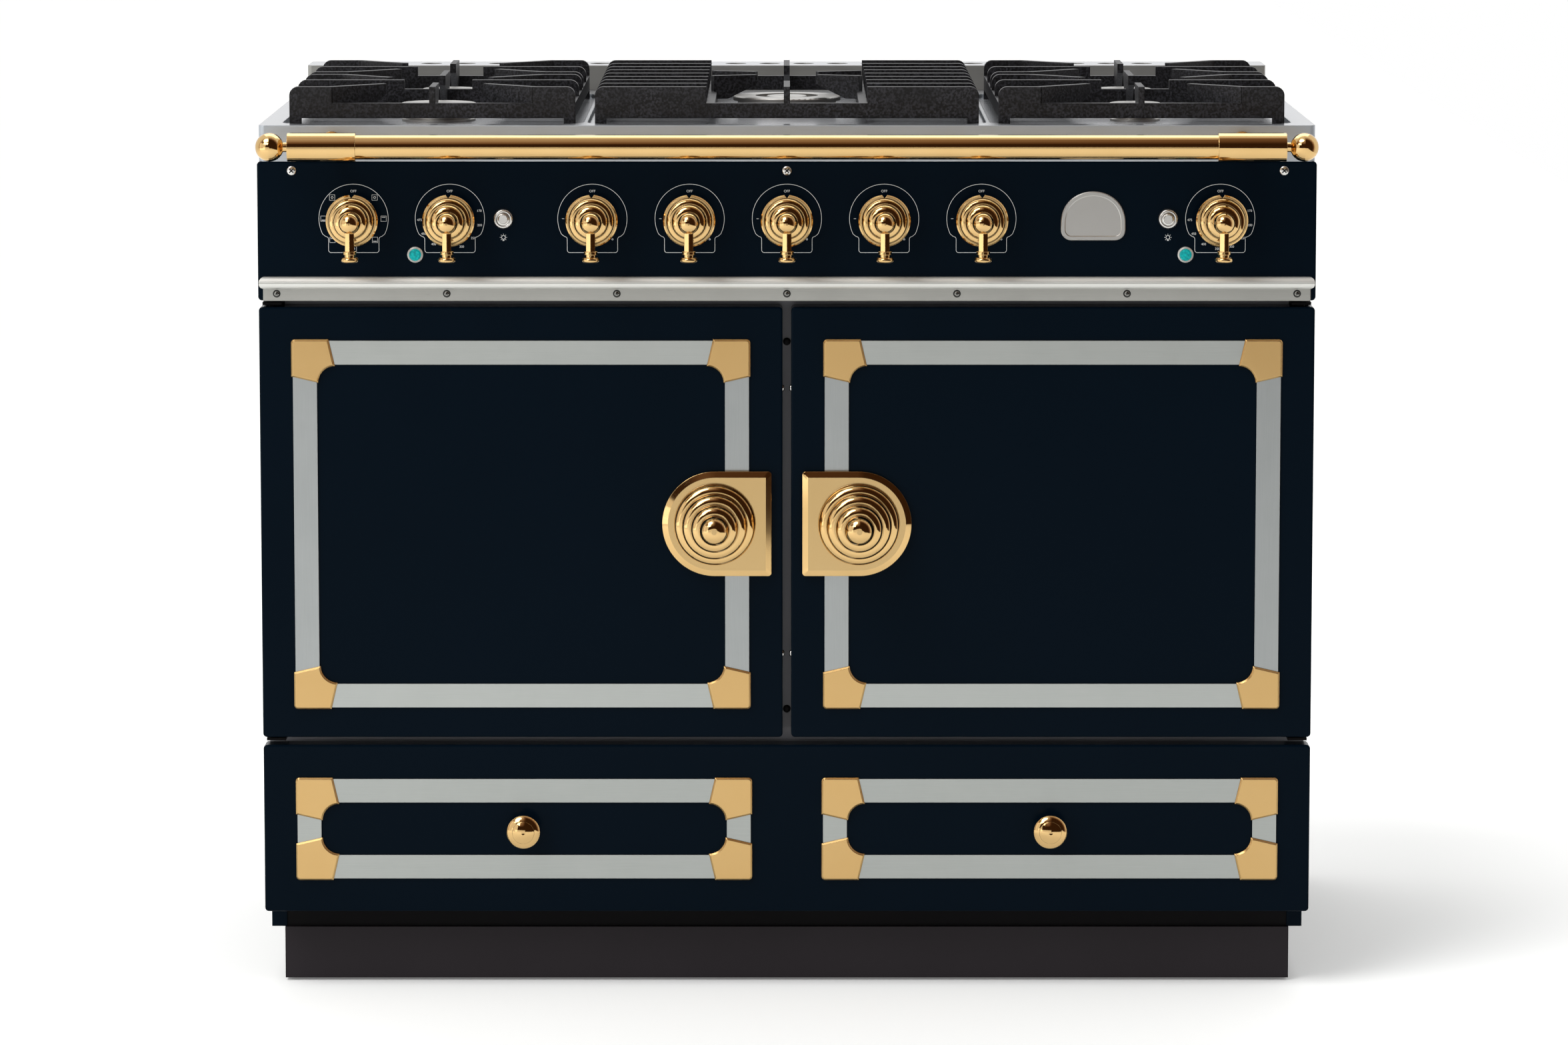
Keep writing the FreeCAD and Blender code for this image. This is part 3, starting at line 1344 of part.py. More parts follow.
def tap_body(x):
    """A brass tap on the panel's back, bored for its cone and spindle, with a neck to the manifold."""
    start = S.enamel_sheet
    barrel = rod(S.tap_radius, S.tap_length - start, x, start, KNOB_LEVEL, "y")
    neck_length = S.manifold_drop - S.manifold_radius
    neck = rod(S.tap_neck, neck_length, x, S.manifold_depth, KNOB_LEVEL - neck_length)
    chamber = rod(S.cone_radius, S.cone_length + S.cone_end_gap, x, S.cone_start, KNOB_LEVEL, "y")
    mouth = rod(S.tap_hole, S.cone_start, x, 0, KNOB_LEVEL, "y")
    saddle = rod(S.manifold_radius, 2 * S.tap_radius, x - S.tap_radius, S.manifold_depth,
                 KNOB_LEVEL - S.manifold_drop, "x")
    return cut(fuse(barrel, neck), chamber, mouth, saddle)


def tap_cone(name, x):
    """The turning plug of a gas tap, slotted for the spindle's tang."""
    plug = rod(S.cone_radius - S.cone_clearance, S.cone_length, 0, S.cone_start + S.cone_end_gap / 2, 0, "y")
    wide = S.tang_width + 2 * S.tang_gap
    tall = S.tang_thickness + 2 * S.tang_gap
    slot = box(wide, S.tang_length + S.push_travel + 2 * S.overrun, tall, -wide / 2,
               S.cone_start - S.overrun, -tall / 2)
    node(cut(plug, slot), f"tap_cone_{name[-1]}", x=x, z=KNOB_LEVEL)


def manifold():
    """The gas pipe behind the taps, its run to the back and the threaded inlet."""
    level = KNOB_LEVEL - S.manifold_drop
    inlet_x = SIDE_OUTER - S.gas_inlet_side
    start = -KNOB_PITCH * 2 - S.tap_radius
    along = rod(S.manifold_radius, inlet_x - start, start, S.manifold_depth, level, "x")
    elbow = doc.addObject("Part::Sphere", "elbow")
    bind(elbow, "Radius", S.manifold_radius)
    place(elbow, inlet_x, S.manifold_depth, level)
    outlet = BACK_FRONT + S.casing_sheet + S.gas_inlet_gap
    run = rod(S.manifold_radius, outlet - S.manifold_depth, inlet_x, S.manifold_depth, level, "y")
    inlet = rod(S.gas_inlet_radius, S.gas_inlet_length, inlet_x, outlet, level, "y")
    return fuse(along, elbow, run, inlet)


def oven_control(x):
    """A thermostat or selector case on the panel's back, bored for its spindle."""
    half = S.oven_control_size / 2
    case = box(S.oven_control_size, S.oven_control_depth, S.oven_control_size,
               x - half, S.enamel_sheet, KNOB_LEVEL - half)
    bore = rod(S.spindle_radius + S.pin_clearance, S.spindle_tail + S.spindle_end_gap, x, 0, KNOB_LEVEL, "y")
    return cut(case, bore)


def light_button(side, x):
    """A domed push button that slides in its bezel."""
    dome = S.button_dome
    button = turned(
        (0, S.button_tail), (0, -S.button_reach), (S.button_radius - dome, -S.button_reach, dome, "right"),
        (S.button_radius, -(S.button_reach - dome)), (S.button_radius, S.button_tail))
    node(group(button), f"light_button_{side}", x=x, z=KNOB_LEVEL)


def light_switch(x):
    """The switch case behind a push button."""
    half = S.switch_size / 2
    depth = S.button_tail + S.button_travel + S.switch_gap + S.switch_wall
    case = box(S.switch_size, depth - S.enamel_sheet, S.switch_size, x - half, S.enamel_sheet,
               KNOB_LEVEL - half)
    bore = rod(S.button_radius + S.button_gap, depth - S.switch_wall, x, 0, KNOB_LEVEL, "y")
    return cut(case, bore)


BURNERS = (
    (-SIDE_GRATE_X, GRATE_MIDDLE - BURNER_OFFSET, S.cap_front_left),
    (-SIDE_GRATE_X, GRATE_MIDDLE + BURNER_OFFSET, S.cap_back_left),
    (SIDE_GRATE_X, GRATE_MIDDLE - BURNER_OFFSET, S.cap_front_right),
    (SIDE_GRATE_X, GRATE_MIDDLE + BURNER_OFFSET, S.cap_back_right),
    (0, GRATE_MIDDLE, S.cap_wok),
)


def hob():
    """The stainless hob plate with its wells, burners, rear vent, grates and towel rail."""
    half = S.width / 2 - S.hob_inset
    outside = extrude(Outline("xy").rounded(-half, 0, half, S.body_depth, S.hob_corner),
                      UP, S.fascia_height)
    wall = S.hob_sheet
    inside = box(2 * (half - wall), S.body_depth - 2 * wall, S.fascia_height - S.hob_plate,
                 wall - half, wall, 0)
    wells = []
    for x, wide in ((-SIDE_GRATE_X, SIDE_GRATE_WIDTH), (0, S.centre_grate_width),
                    (SIDE_GRATE_X, SIDE_GRATE_WIDTH)):
        reach = wide / 2 + S.well_margin
        well = extrude(Outline("xy").rounded(x - reach, GRATE_FRONT - S.well_margin, x + reach,
                                             GRATE_FRONT + GRATE_DEPTH + S.well_margin, S.well_corner),
                       UP, S.well_depth + S.overrun)
        wells.append(place(well, z=S.fascia_height - S.well_depth))
    holes = []
    for x, y, cap in BURNERS:
        holes.append(rod(cap - S.burner_skirt + S.burner_hole_gap, S.fascia_height, x, y, 0))
    node(cut(outside, inside, *wells, *holes), "hob_top", z=PANEL_TOP)
    burners()
    rear_vent()
    grates()
    towel_rail()


def burners():
    """Burner cups in the hob's holes and the flat caps on them."""
    cups = []
    caps = []
    for x, y, cap in BURNERS:
        body_radius = cap - S.burner_skirt
        top = S.burner_rise
        cup = turned(
            (S.burner_throat, -S.burner_cup), (body_radius, -S.burner_cup), (body_radius, 0),
            (body_radius + S.burner_flange, 0), (body_radius + S.burner_flange, S.burner_flange_thick),
            (body_radius, S.burner_flange_thick * 2), (body_radius, top), (S.burner_throat, top))
        cups.append(place(cup, x, y, WELL_FLOOR, TURNED_TO["z"]))
        soft = S.cap_round
        wok = cap is S.cap_wok
        inner = S.wok_ring_hole if wok else 0
        lid = turned(
            (inner, 0), (cap, 0), (cap, S.cap_thickness - soft, soft, "left"),
            (cap - soft, S.cap_thickness), (inner, S.cap_thickness))
        caps.append(place(lid, x, y, WELL_FLOOR + top, TURNED_TO["z"]))
        if wok:
            button = turned(
                (0, 0), (S.wok_inner_cap, 0), (S.wok_inner_cap, S.cap_thickness - soft, soft, "left"),
                (S.wok_inner_cap - soft, S.cap_thickness), (0, S.cap_thickness))
            caps.append(place(button, x, y, WELL_FLOOR + top, TURNED_TO["z"]))
    node(group(*cups), "burner_bases")
    node(group(*caps), "burner_caps")


def rear_vent():
    """The low upstand along the back with a row of round vent holes in its top."""
    body = doc.addObject("PartDesign::Body", "vent")
    half = S.width / 2 - S.vent_side
    plan = Outline(body=body, role="XY_Plane")
    plan.rounded(-half, -S.vent_depth, half, 0, S.pan_corner)
    pad = body.newObject("PartDesign::Pad", "block")
    pad.Profile = plan.sketch
    bind(pad, "Length", S.vent_height)
    wall = S.vent_sheet
    under = Outline(body=body, role="XY_Plane")
    under.square(wall - half, wall - S.vent_depth, half - wall, -wall)
    hollow = body.newObject("PartDesign::Pocket", "hollow")
    hollow.Profile = under.sketch
    hollow.Reversed = True
    bind(hollow, "Length", S.vent_height - wall)
    first = Outline(body=body, role="XY_Plane", offset=S.vent_height)
    pairs = int((half - S.vent_end).value / S.vent_pitch.value)
    span = S.vent_pitch * (2 * pairs - 1)
    first.circle(-span / 2, -S.vent_depth / 2, S.vent_hole)
    holes = body.newObject("PartDesign::Pocket", "vent_hole")
    holes.Profile = first.sketch
    bind(holes, "Length", 2 * wall)
    row_of_holes = body.newObject("PartDesign::LinearPattern", "vent_holes")
    row_of_holes.Originals = [holes]
    axis = next(item for item in body.Origin.OriginFeatures if item.Role == "X_Axis")
    row_of_holes.Direction = (axis, [""])
    bind(row_of_holes, "Length", span)
    row_of_holes.Occurrences = 2 * pairs
    body.Tip = row_of_holes
    node(group(body), "rear_vent", y=S.body_depth, z=HOB_TOP)


GRATE_BASE = WELL_FLOOR + S.grate_seat
GRATE_TALL = S.grate_height + S.well_depth - S.grate_seat
BAR_LOW = S.grate_bar_lift + S.well_depth
BAR_HIGH = BAR_LOW + S.grate_bar


def blade(length, start_low, tip_low, taper, rounded, thick=S.grate_thickness):
    """An upright cast blade along +x from the origin, its underside rising towards the tip."""
    top = GRATE_TALL
    corners = [(0, start_low), (length - taper, start_low), (length, tip_low), (length, top)]
    if rounded:
        corners.extend([(S.grate_round, top, S.grate_round, "left"), (0, top - S.grate_round)])
    else:
        corners.append((0, top))
    return place(extrude(Outline("xz").loop(*corners), BACK, thick), y=-thick / 2)


def set_blade(shape, x, y, angle):
    """Turn a blade about the upright axis and stand it at a point."""
    holder = doc.addObject("Part::Compound", "set_blade")
    holder.Links = [shape]
    holder.Placement = Placement(Vector(), Rotation(UP, as_size(angle).value))
    if isinstance(angle, Size):
        holder.setExpression("Placement.Rotation.Angle", angle.formula)
    return place(holder, x, y, 0)


def finger(length, x, y, angle, low=BAR_LOW, rounded=False, thick=S.grate_thickness):
    """A finger towards a burner, thin at its tip."""
    tip_low = GRATE_TALL - S.finger_tip
    return set_blade(blade(length, low, tip_low, S.finger_taper, rounded, thick), x, y, angle)


def low_bar(x0, y0, x1, y1):
    """A low bar of the grate between two corners in plan."""
    return box(x1 - x0, y1 - y0, S.grate_bar, x0, y0, BAR_LOW)


def grate_frame(wide):
    """The low frame of a grate with a foot at each corner."""
    thick = S.grate_thickness
    half = wide / 2
    deep = GRATE_DEPTH
    pieces = [low_bar(-half, y, half, y + thick) for y in (-deep / 2, deep / 2 - thick)]
    for side in (-1, 1):
        x = (half - thick / 2) * side - thick / 2
        pieces.append(low_bar(x, -deep / 2, x + thick, deep / 2))
        for end in (-1, 1):
            foot_x = (half - S.grate_foot / 2) * side - S.grate_foot / 2
            foot_y = (deep / 2 - S.grate_foot / 2) * end - S.grate_foot / 2
            pieces.append(box(S.grate_foot, S.grate_foot, BAR_HIGH, foot_x, foot_y, 0))
    return pieces


def fin(x, y, length, direction):
    """A fin on the centre line from a cross bar towards a burner."""
    return finger(length, x, y, 90 * direction, thick=S.fin_thickness)


def side_grate():
    """A grate over two burners: three fingers a side for each, and fins fore and aft."""
    half = SIDE_GRATE_WIDTH / 2
    thick = S.grate_thickness
    pieces = grate_frame(SIDE_GRATE_WIDTH)
    pieces.append(low_bar(-half, -thick / 2, half, thick / 2))
    for end in (-1, 1):
        burner = BURNER_OFFSET * end
        for edge, lean in ((GRATE_DEPTH / 2 - thick / 2, -1), (S.finger_spread, 1)):
            y = edge * end
            turn = lean * end
            for side in (-1, 1):
                root_x = half * side
                straight = set_blade(
                    blade(S.finger_straight + thick / 4, BAR_LOW, BAR_LOW, S.finger_straight / 2, True),
                    root_x, y, 360 if side < 0 else 180)
                angle = S.finger_angle * turn if side < 0 else 180 - S.finger_angle * turn
                slant = finger(S.finger_length, (half - S.finger_straight) * side, y, angle)
                pieces.extend([straight, slant])
        for side in (-1, 1):
            pieces.append(finger(half - S.finger_tip_gap, half * side, burner, 360 if side < 0 else 180,
                                 rounded=True))
        pieces.append(fin(0, (GRATE_DEPTH / 2) * end, S.fin_length, -end))
        pieces.append(fin(0, 0, S.fin_short, end))
    return fuse(*pieces)


def centre_grate():
    """The wide grate over the largest burner: slats either side, four fingers and two fins."""
    half = S.centre_grate_width / 2
    thick = S.slat_thickness
    pieces = grate_frame(S.centre_grate_width)
    step = (GRATE_DEPTH - thick) / (SLATS - 1)
    for number in range(SLATS):
        y = step * (number - (SLATS - 1) / 2)
        for side in (-1, 1):
            pieces.append(set_blade(
                blade(S.slat_length, BAR_LOW, BAR_LOW, S.slat_length / 2, True),
                half * side, y, 360 if side < 0 else 180))
    for side in (-1, 1):
        rail_x = (half - S.slat_length) * side - (thick if side > 0 else 0)
        pieces.append(low_bar(rail_x, -GRATE_DEPTH / 2, rail_x + thick, GRATE_DEPTH / 2))
        for end in (-1, 1):
            turn = -end
            angle = S.wok_finger_angle * turn if side < 0 else 180 - S.wok_finger_angle * turn
            pieces.append(finger(S.wok_finger_length, (half - S.slat_length - thick / 2) * side,
                                 S.wok_finger_spread * end, angle, low=BAR_LOW + S.grate_bar / 2))
    for end in (-1, 1):
        pieces.append(fin(0, (GRATE_DEPTH / 2) * end, S.wok_fin_length, -end))
    return fuse(*pieces)


def grates():
    """Three lift-off grates standing in the hob's wells."""
    node(group(side_grate()), "grate_left", x=-SIDE_GRATE_X, y=GRATE_MIDDLE, z=GRATE_BASE)
    node(group(centre_grate()), "grate_centre", y=GRATE_MIDDLE, z=GRATE_BASE)
    node(group(side_grate()), "grate_right", x=SIDE_GRATE_X, y=GRATE_MIDDLE, z=GRATE_BASE)


def towel_rail():
    """A tube along the front held by two ferrules on posts, each ending in a ball."""
    level = HOB_TOP - S.rail_drop
    ball = S.finial_radius
    neck_drop = root(ball * ball - S.finial_neck_radius * S.finial_neck_radius)
    centre = S.width / 2 - S.rail_end_inset - ball
    outer = centre - neck_drop - S.finial_neck
    inner = outer - S.ferrule_length
    post_x = inner + S.rail_post_step
    tube_half = inner + S.ferrule_length / 2
    tube = cut(rod(S.rail_radius, 2 * tube_half, -tube_half, -S.rail_reach, level, "x"),
               rod(S.rail_bore, 2 * (tube_half + S.overrun), -tube_half - S.overrun, -S.rail_reach,
                   level, "x"))
    pieces = [tube]
    socket = S.rail_radius + S.ferrule_gap
    for side in (-1, 1):
        end = turned(
            (socket, inner), (S.ferrule_radius, inner), (S.ferrule_radius, outer),
            (S.finial_neck_radius, outer), (S.finial_neck_radius, outer + S.finial_neck, ball, "left"),
            (ball, centre, ball, "left"), (0, centre + ball), (0, tube_half + S.ferrule_gap),
            (socket, tube_half + S.ferrule_gap))
        place(end, 0, -S.rail_reach, level,
              TURNED_TO["x"] if side > 0 else Rotation(Vector(0, 0, 1), 90))
        post_length = S.rail_reach - socket
        post = rod(S.rail_post_radius, post_length, post_x * side, -post_length, level, "y")
        rose = rod(S.rail_rose_radius, S.rail_rose_thick, post_x * side, -S.rail_rose_thick,
                   level, "y")
        clear = rod(socket, S.ferrule_length, post_x * side - S.ferrule_length / 2,
                    -S.rail_reach, level, "x")
        pieces.append(fuse(end, cut(fuse(post, rose), clear)))
    node(group(*pieces), "towel_rail")


def check_and_write():
    """Stop on any failed object, then write one file for each sub-part."""
    doc.recompute()
    failed = [item.Label for item in doc.Objects if {"Invalid", "Error"} & set(item.State)]
    if failed:
        raise RuntimeError(f"objects failed: {failed}")
    for part in NODES:
        if part.Shape.isNull() or not part.Shape.isValid() or not part.Shape.Solids:
            raise RuntimeError(f"bad shape: {part.Label}")
    os.makedirs("parts", exist_ok=True)
    for part in NODES:
        part.Shape.exportStep(f"parts/{part.Label}.step")
        print(part.Label, len(part.Shape.Solids), "solids")


for one_side in (-1, 1):
    door(one_side)
drawer()
casing()
ovens()
controls()
hob()
check_and_write()
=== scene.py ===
"""Studio scene of a two-oven range cooker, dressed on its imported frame.

The cooker faces -Y and stands on the floor at z = 0. Lengths in the classes below are in millimetres and
become metres through MM where a mesh is made; the studio is laid out in metres.
"""
from __future__ import annotations

import json
import logging
import math
from collections.abc import Mapping, Sequence
from dataclasses import dataclass, field
from enum import Enum

import bmesh
import bpy
from mathutils import Matrix, Vector

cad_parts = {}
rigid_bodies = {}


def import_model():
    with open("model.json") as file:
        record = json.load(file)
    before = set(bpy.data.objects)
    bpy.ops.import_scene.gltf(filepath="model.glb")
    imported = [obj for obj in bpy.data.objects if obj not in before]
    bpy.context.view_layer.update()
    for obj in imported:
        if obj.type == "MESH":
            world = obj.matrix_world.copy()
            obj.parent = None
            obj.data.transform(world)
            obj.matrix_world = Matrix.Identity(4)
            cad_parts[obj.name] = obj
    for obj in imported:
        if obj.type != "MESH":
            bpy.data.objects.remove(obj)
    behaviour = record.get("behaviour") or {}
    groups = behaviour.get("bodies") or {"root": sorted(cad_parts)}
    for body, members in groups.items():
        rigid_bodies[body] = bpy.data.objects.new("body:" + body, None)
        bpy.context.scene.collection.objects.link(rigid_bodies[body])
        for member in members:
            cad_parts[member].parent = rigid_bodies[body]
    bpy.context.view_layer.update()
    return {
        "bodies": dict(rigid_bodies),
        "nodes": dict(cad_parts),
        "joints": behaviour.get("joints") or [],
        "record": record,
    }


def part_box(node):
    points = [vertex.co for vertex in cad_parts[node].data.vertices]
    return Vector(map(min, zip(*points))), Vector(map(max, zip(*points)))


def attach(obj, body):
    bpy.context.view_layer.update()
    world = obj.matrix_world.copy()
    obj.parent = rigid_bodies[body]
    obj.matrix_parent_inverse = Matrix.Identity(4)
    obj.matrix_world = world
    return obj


LOG = logging.getLogger("range_cooker")
MM = 0.001
CHASSIS = "chassis"
GLASS_IOR = 1.5
EDGE_SAMPLES = 4
WHITE = (1.0, 1.0, 1.0, 1.0)

Point = tuple[float, float]


class Side(Enum):
    """A side of the cooker as seen from the front."""

    LEFT = -1
    RIGHT = 1

    @property
    def word(self) -> str:
        """The side's name in the frame's node names."""
        return self.name.lower()


class Grain(Enum):
    """The direction in which a sheet was brushed, as how often its lines repeat along x, y and z."""

    ALONG_X = (1.0, 60.0, 60.0)
    ALONG_Z = (60.0, 60.0, 1.0)
    NONE = (1.0, 1.0, 1.0)


# Materials


def linear(code: str) -> tuple[float, float, float, float]:
    """Turn an sRGB hex colour into linear light.

    Args:
        code: Six hex digits with a leading hash.

    Returns:
        Linear red, green, blue and an alpha of one.
    """
    channels = [int(code[start:start + 2], 16) / 255 for start in (1, 3, 5)]
    red, green, blue = (value / 12.92 if value <= 0.04045 else ((value + 0.055) / 1.055) ** 2.4
                        for value in channels)
    return red, green, blue, 1.0


def add_node(
    tree: bpy.types.NodeTree,
    kind: str,
    settings: Mapping[str, object] | None = None,
    inputs: Mapping[str | int, object] | None = None,
) -> bpy.types.Node:
    """Add a node, set its options and fill its sockets.

    Args:
        tree: The tree that receives the node.
        kind: Blender's name for the node type.
        settings: Options of the node by name.
        inputs: Socket values by name or number; an output socket is linked instead.

    Returns:
        The new node.
    """
    node = tree.nodes.new(kind)
    for name, value in (settings or {}).items():
        setattr(node, name, value)
    for name, value in (inputs or {}).items():
        if isinstance(value, bpy.types.NodeSocket):
            tree.links.new(value, node.inputs[name])
        else:
            node.inputs[name].default_value = value
    return node


def new_material(name: str) -> tuple[bpy.types.Material, bpy.types.NodeTree]:
    """Make a material with an empty tree.

    Args:
        name: The finish's name.

    Returns:
        The material and its tree.
    """
    material = bpy.data.materials.new(name)
    material.use_nodes = True
    material.node_tree.nodes.clear()
    return material, material.node_tree


def surface_normal(
    tree: bpy.types.NodeTree, height: bpy.types.NodeSocket, strength: float, depth_mm: float, edge_mm: float,
) -> bpy.types.NodeSocket:
    """Lay a relief over a surface whose sharp edges catch the light as worn edges do.

    Args:
        tree: The material's tree.
        height: The relief's height socket.
        strength: How strongly the relief shows.
        depth_mm: The relief's depth in millimetres.
        edge_mm: The edges' radius in millimetres.

    Returns:
        The normal socket for a shader.
    """
    edges = add_node(tree, "ShaderNodeBevel", {"samples": EDGE_SAMPLES}, {"Radius": edge_mm * MM})
    relief = add_node(tree, "ShaderNodeBump", inputs={
        "Strength": strength, "Distance": depth_mm * MM, "Height": height, "Normal": edges.outputs["Normal"]})
    return relief.outputs["Normal"]


def scaled_coordinates(tree: bpy.types.NodeTree, cell_mm: Sequence[float]) -> bpy.types.NodeSocket:
    """Object coordinates in which one unit is a cell of the pattern.

    Args:
        tree: The material's tree.
        cell_mm: The pattern's cell along x, y and z in millimetres.

    Returns:
        The vector socket for a texture.
    """
    source = add_node(tree, "ShaderNodeTexCoord")
    scale = tuple(1 / (cell * MM) for cell in cell_mm)
    mapping = add_node(tree, "ShaderNodeMapping", {"vector_type": "POINT"},
                       {"Vector": source.outputs["Object"], "Scale": scale})
    return mapping.outputs["Vector"]


@dataclass(frozen=True)
class VitreousEnamel:
    """Glass fused on pressed steel: an even, deep colour under a clear skin with a faint orange peel."""

    name: str
    colour: str
    tint: str
    roughness: float = 0.2
    specular: float = 0.03
    peel_mm: float = 5.0
    peel_strength: float = 0.03
    peel_depth_mm: float = 0.2
    drift_mm: float = 180.0
    gloss_spread: float = 0.15
    edge_mm: float = 1.2

    def build(self) -> bpy.types.Material:
        """Make the material, with slow drift between two shades of the colour.

        Returns:
            The material.
        """
        material, tree = new_material(self.name)
        drift = add_node(tree, "ShaderNodeTexNoise", inputs={
            "Vector": scaled_coordinates(tree, (self.drift_mm,) * 3), "Scale": 1.0, "Detail": 2.0})
        colour = add_node(tree, "ShaderNodeMix", {"data_type": "RGBA"}, {
            0: drift.outputs["Fac"], 6: linear(self.colour), 7: linear(self.tint)})
        peel = add_node(tree, "ShaderNodeTexNoise", inputs={
            "Vector": scaled_coordinates(tree, (self.peel_mm,) * 3), "Scale": 1.0, "Detail": 1.0})
        relief = peel.outputs["Fac"]
        gloss = add_node(tree, "ShaderNodeMapRange", inputs={
            "Value": relief, "To Min": self.roughness * (1 - self.gloss_spread),
            "To Max": self.roughness * (1 + self.gloss_spread)})
        shader = add_node(tree, "ShaderNodeBsdfPrincipled", inputs={
            "Base Color": colour.outputs[2], "Roughness": gloss.outputs["Result"],
            "Normal": surface_normal(tree, relief, self.peel_strength, self.peel_depth_mm, self.edge_mm),
            "IOR": GLASS_IOR, "Specular IOR Level": self.specular})
        add_node(tree, "ShaderNodeOutputMaterial", inputs={"Surface": shader.outputs["BSDF"]})
        return material


class Lie(Enum):
    """Which faces of a piece have its second tone."""

    FRONT = "square to the front"
    UPRIGHT = "upright"
    ENDS = "along the top and the bottom"


@dataclass(frozen=True)
class SecondTone:
    """The tone of a metal where it lies another way than the rest of its piece; where this tone is darker it
    is painted shade, and where it is lighter it is painted light.
    """

    light: str
    dark: str
    roughness: float
    lie: Lie = Lie.FRONT


@dataclass(frozen=True)
class WorkedMetal:
    """Bare or lacquered metal that was brushed, rolled or turned: fine lines drift in tone and gloss."""

    name: str
    light: str
    dark: str
    roughness: float
    grain: Grain = Grain.NONE
    line_mm: float = 0.6
    line_strength: float = 0.05
    line_depth_mm: float = 0.1
    cloud_mm: float = 40.0
    cloud_share: float = 0.5
    gloss_spread: float = 0.25
    edge_mm: float = 0.4
    second: SecondTone | None = None
    front_slope: Point = (-0.9985, -0.9998)
    upright_slope: Point = (0.12, 0.05)
    end_reach: Point = (0.41, 0.411)
    metallic: float = 1.0

    def build(self) -> bpy.types.Material:
        """Make the material, with lines along the grain over soft clouds of tone.

        Returns:
            The material.
        """
        material, tree = new_material(self.name)
        lines = self.brushing(tree, self.grain)
        clouds = add_node(tree, "ShaderNodeTexNoise", inputs={
            "Vector": scaled_coordinates(tree, (self.cloud_mm,) * 3), "Scale": 1.0, "Detail": 2.0})
        where = self.mask(tree, self.second.lie) if self.second else None
        if self.second and self.second.lie is Lie.ENDS:
            lines = add_node(tree, "ShaderNodeMix", {"data_type": "FLOAT"}, {
                0: where, 2: lines, 3: self.brushing(tree, Grain.ALONG_X)}).outputs[0]
        blend = add_node(tree, "ShaderNodeMix", {"data_type": "FLOAT"}, {
            0: self.cloud_share, 2: lines, 3: clouds.outputs["Fac"]})
        colour, gloss = self.tone(tree, blend.outputs[0], self)
        # Faces that lie another way take the second tone; its colour is painted shade where darker and
        # painted light where lighter
        if self.second:
            other_colour, other_gloss = self.tone(tree, blend.outputs[0], self.second)
            colour = add_node(tree, "ShaderNodeMix", {"data_type": "RGBA"}, {
                0: where, 6: colour, 7: other_colour}).outputs[2]
            gloss = add_node(tree, "ShaderNodeMix", {"data_type": "FLOAT"}, {
                0: where, 2: gloss, 3: other_gloss}).outputs[0]
        shader = add_node(tree, "ShaderNodeBsdfPrincipled", inputs={
            "Base Color": colour, "Roughness": gloss, "Metallic": self.metallic,
            "Normal": surface_normal(tree, lines, self.line_strength, self.line_depth_mm, self.edge_mm)})
        add_node(tree, "ShaderNodeOutputMaterial", inputs={"Surface": shader.outputs["BSDF"]})
        return material

    def brushing(self, tree: bpy.types.NodeTree, grain: Grain) -> bpy.types.NodeSocket:
        """Fine lines along a grain.

        Args:
            tree: The material's tree.
            grain: Which way the lines run.

        Returns:
            The pattern's socket.
        """
        longest = max(grain.value)
        cell = tuple(self.line_mm * longest / share for share in grain.value)
        lines = add_node(tree, "ShaderNodeTexNoise", inputs={
            "Vector": scaled_coordinates(tree, cell), "Scale": 1.0, "Detail": 3.0})
        return lines.outputs["Fac"]

    def mask(self, tree: bpy.types.NodeTree, lie: Lie) -> bpy.types.NodeSocket:
        """Mark the faces that have the second tone.

        Args:
            tree: The material's tree.
            lie: Which faces these are.

        Returns:
            A socket that is one there.
        """
        if lie is Lie.ENDS:
            source = add_node(tree, "ShaderNodeTexCoord").outputs["Generated"]
        else:
            source = add_node(tree, "ShaderNodeNewGeometry").outputs["Normal"]
        split = add_node(tree, "ShaderNodeSeparateXYZ", inputs={0: source})
        if lie is Lie.FRONT:
            value, (least, full) = split.outputs["Y"], self.front_slope
        elif lie is Lie.UPRIGHT:
            size = add_node(tree, "ShaderNodeMath", {"operation": "ABSOLUTE"}, {0: split.outputs["Z"]})
            value, (least, full) = size.outputs[0], self.upright_slope
        else:
            # These coordinates run from 0 to 1 over a piece, so its middle is at a half
            away = add_node(tree, "ShaderNodeMath", {"operation": "SUBTRACT"}, {
                0: split.outputs["Z"], 1: 0.5})
            size = add_node(tree, "ShaderNodeMath", {"operation": "ABSOLUTE"}, {0: away.outputs[0]})
            value, (least, full) = size.outputs[0], self.end_reach
        ramp = add_node(tree, "ShaderNodeMapRange", inputs={
            "Value": value, "From Min": least, "From Max": full})
        return ramp.outputs["Result"]

    def tone(
        self, tree: bpy.types.NodeTree, pattern: bpy.types.NodeSocket, look: WorkedMetal | SecondTone,
    ) -> tuple[bpy.types.NodeSocket, bpy.types.NodeSocket]:
        """Spread a pattern between a look's two shades and about its roughness.

        Args:
            tree: The material's tree.
            pattern: The pattern's socket.
            look: What gives the shades and the roughness.

        Returns:
            The colour socket and the roughness socket.
        """
        colour = add_node(tree, "ShaderNodeMix", {"data_type": "RGBA"}, {
            0: pattern, 6: linear(look.dark), 7: linear(look.light)})
        gloss = add_node(tree, "ShaderNodeMapRange", inputs={
            "Value": pattern, "To Min": look.roughness * (1 - self.gloss_spread),
            "To Max": look.roughness * (1 + self.gloss_spread)})
        return colour.outputs[2], gloss.outputs["Result"]


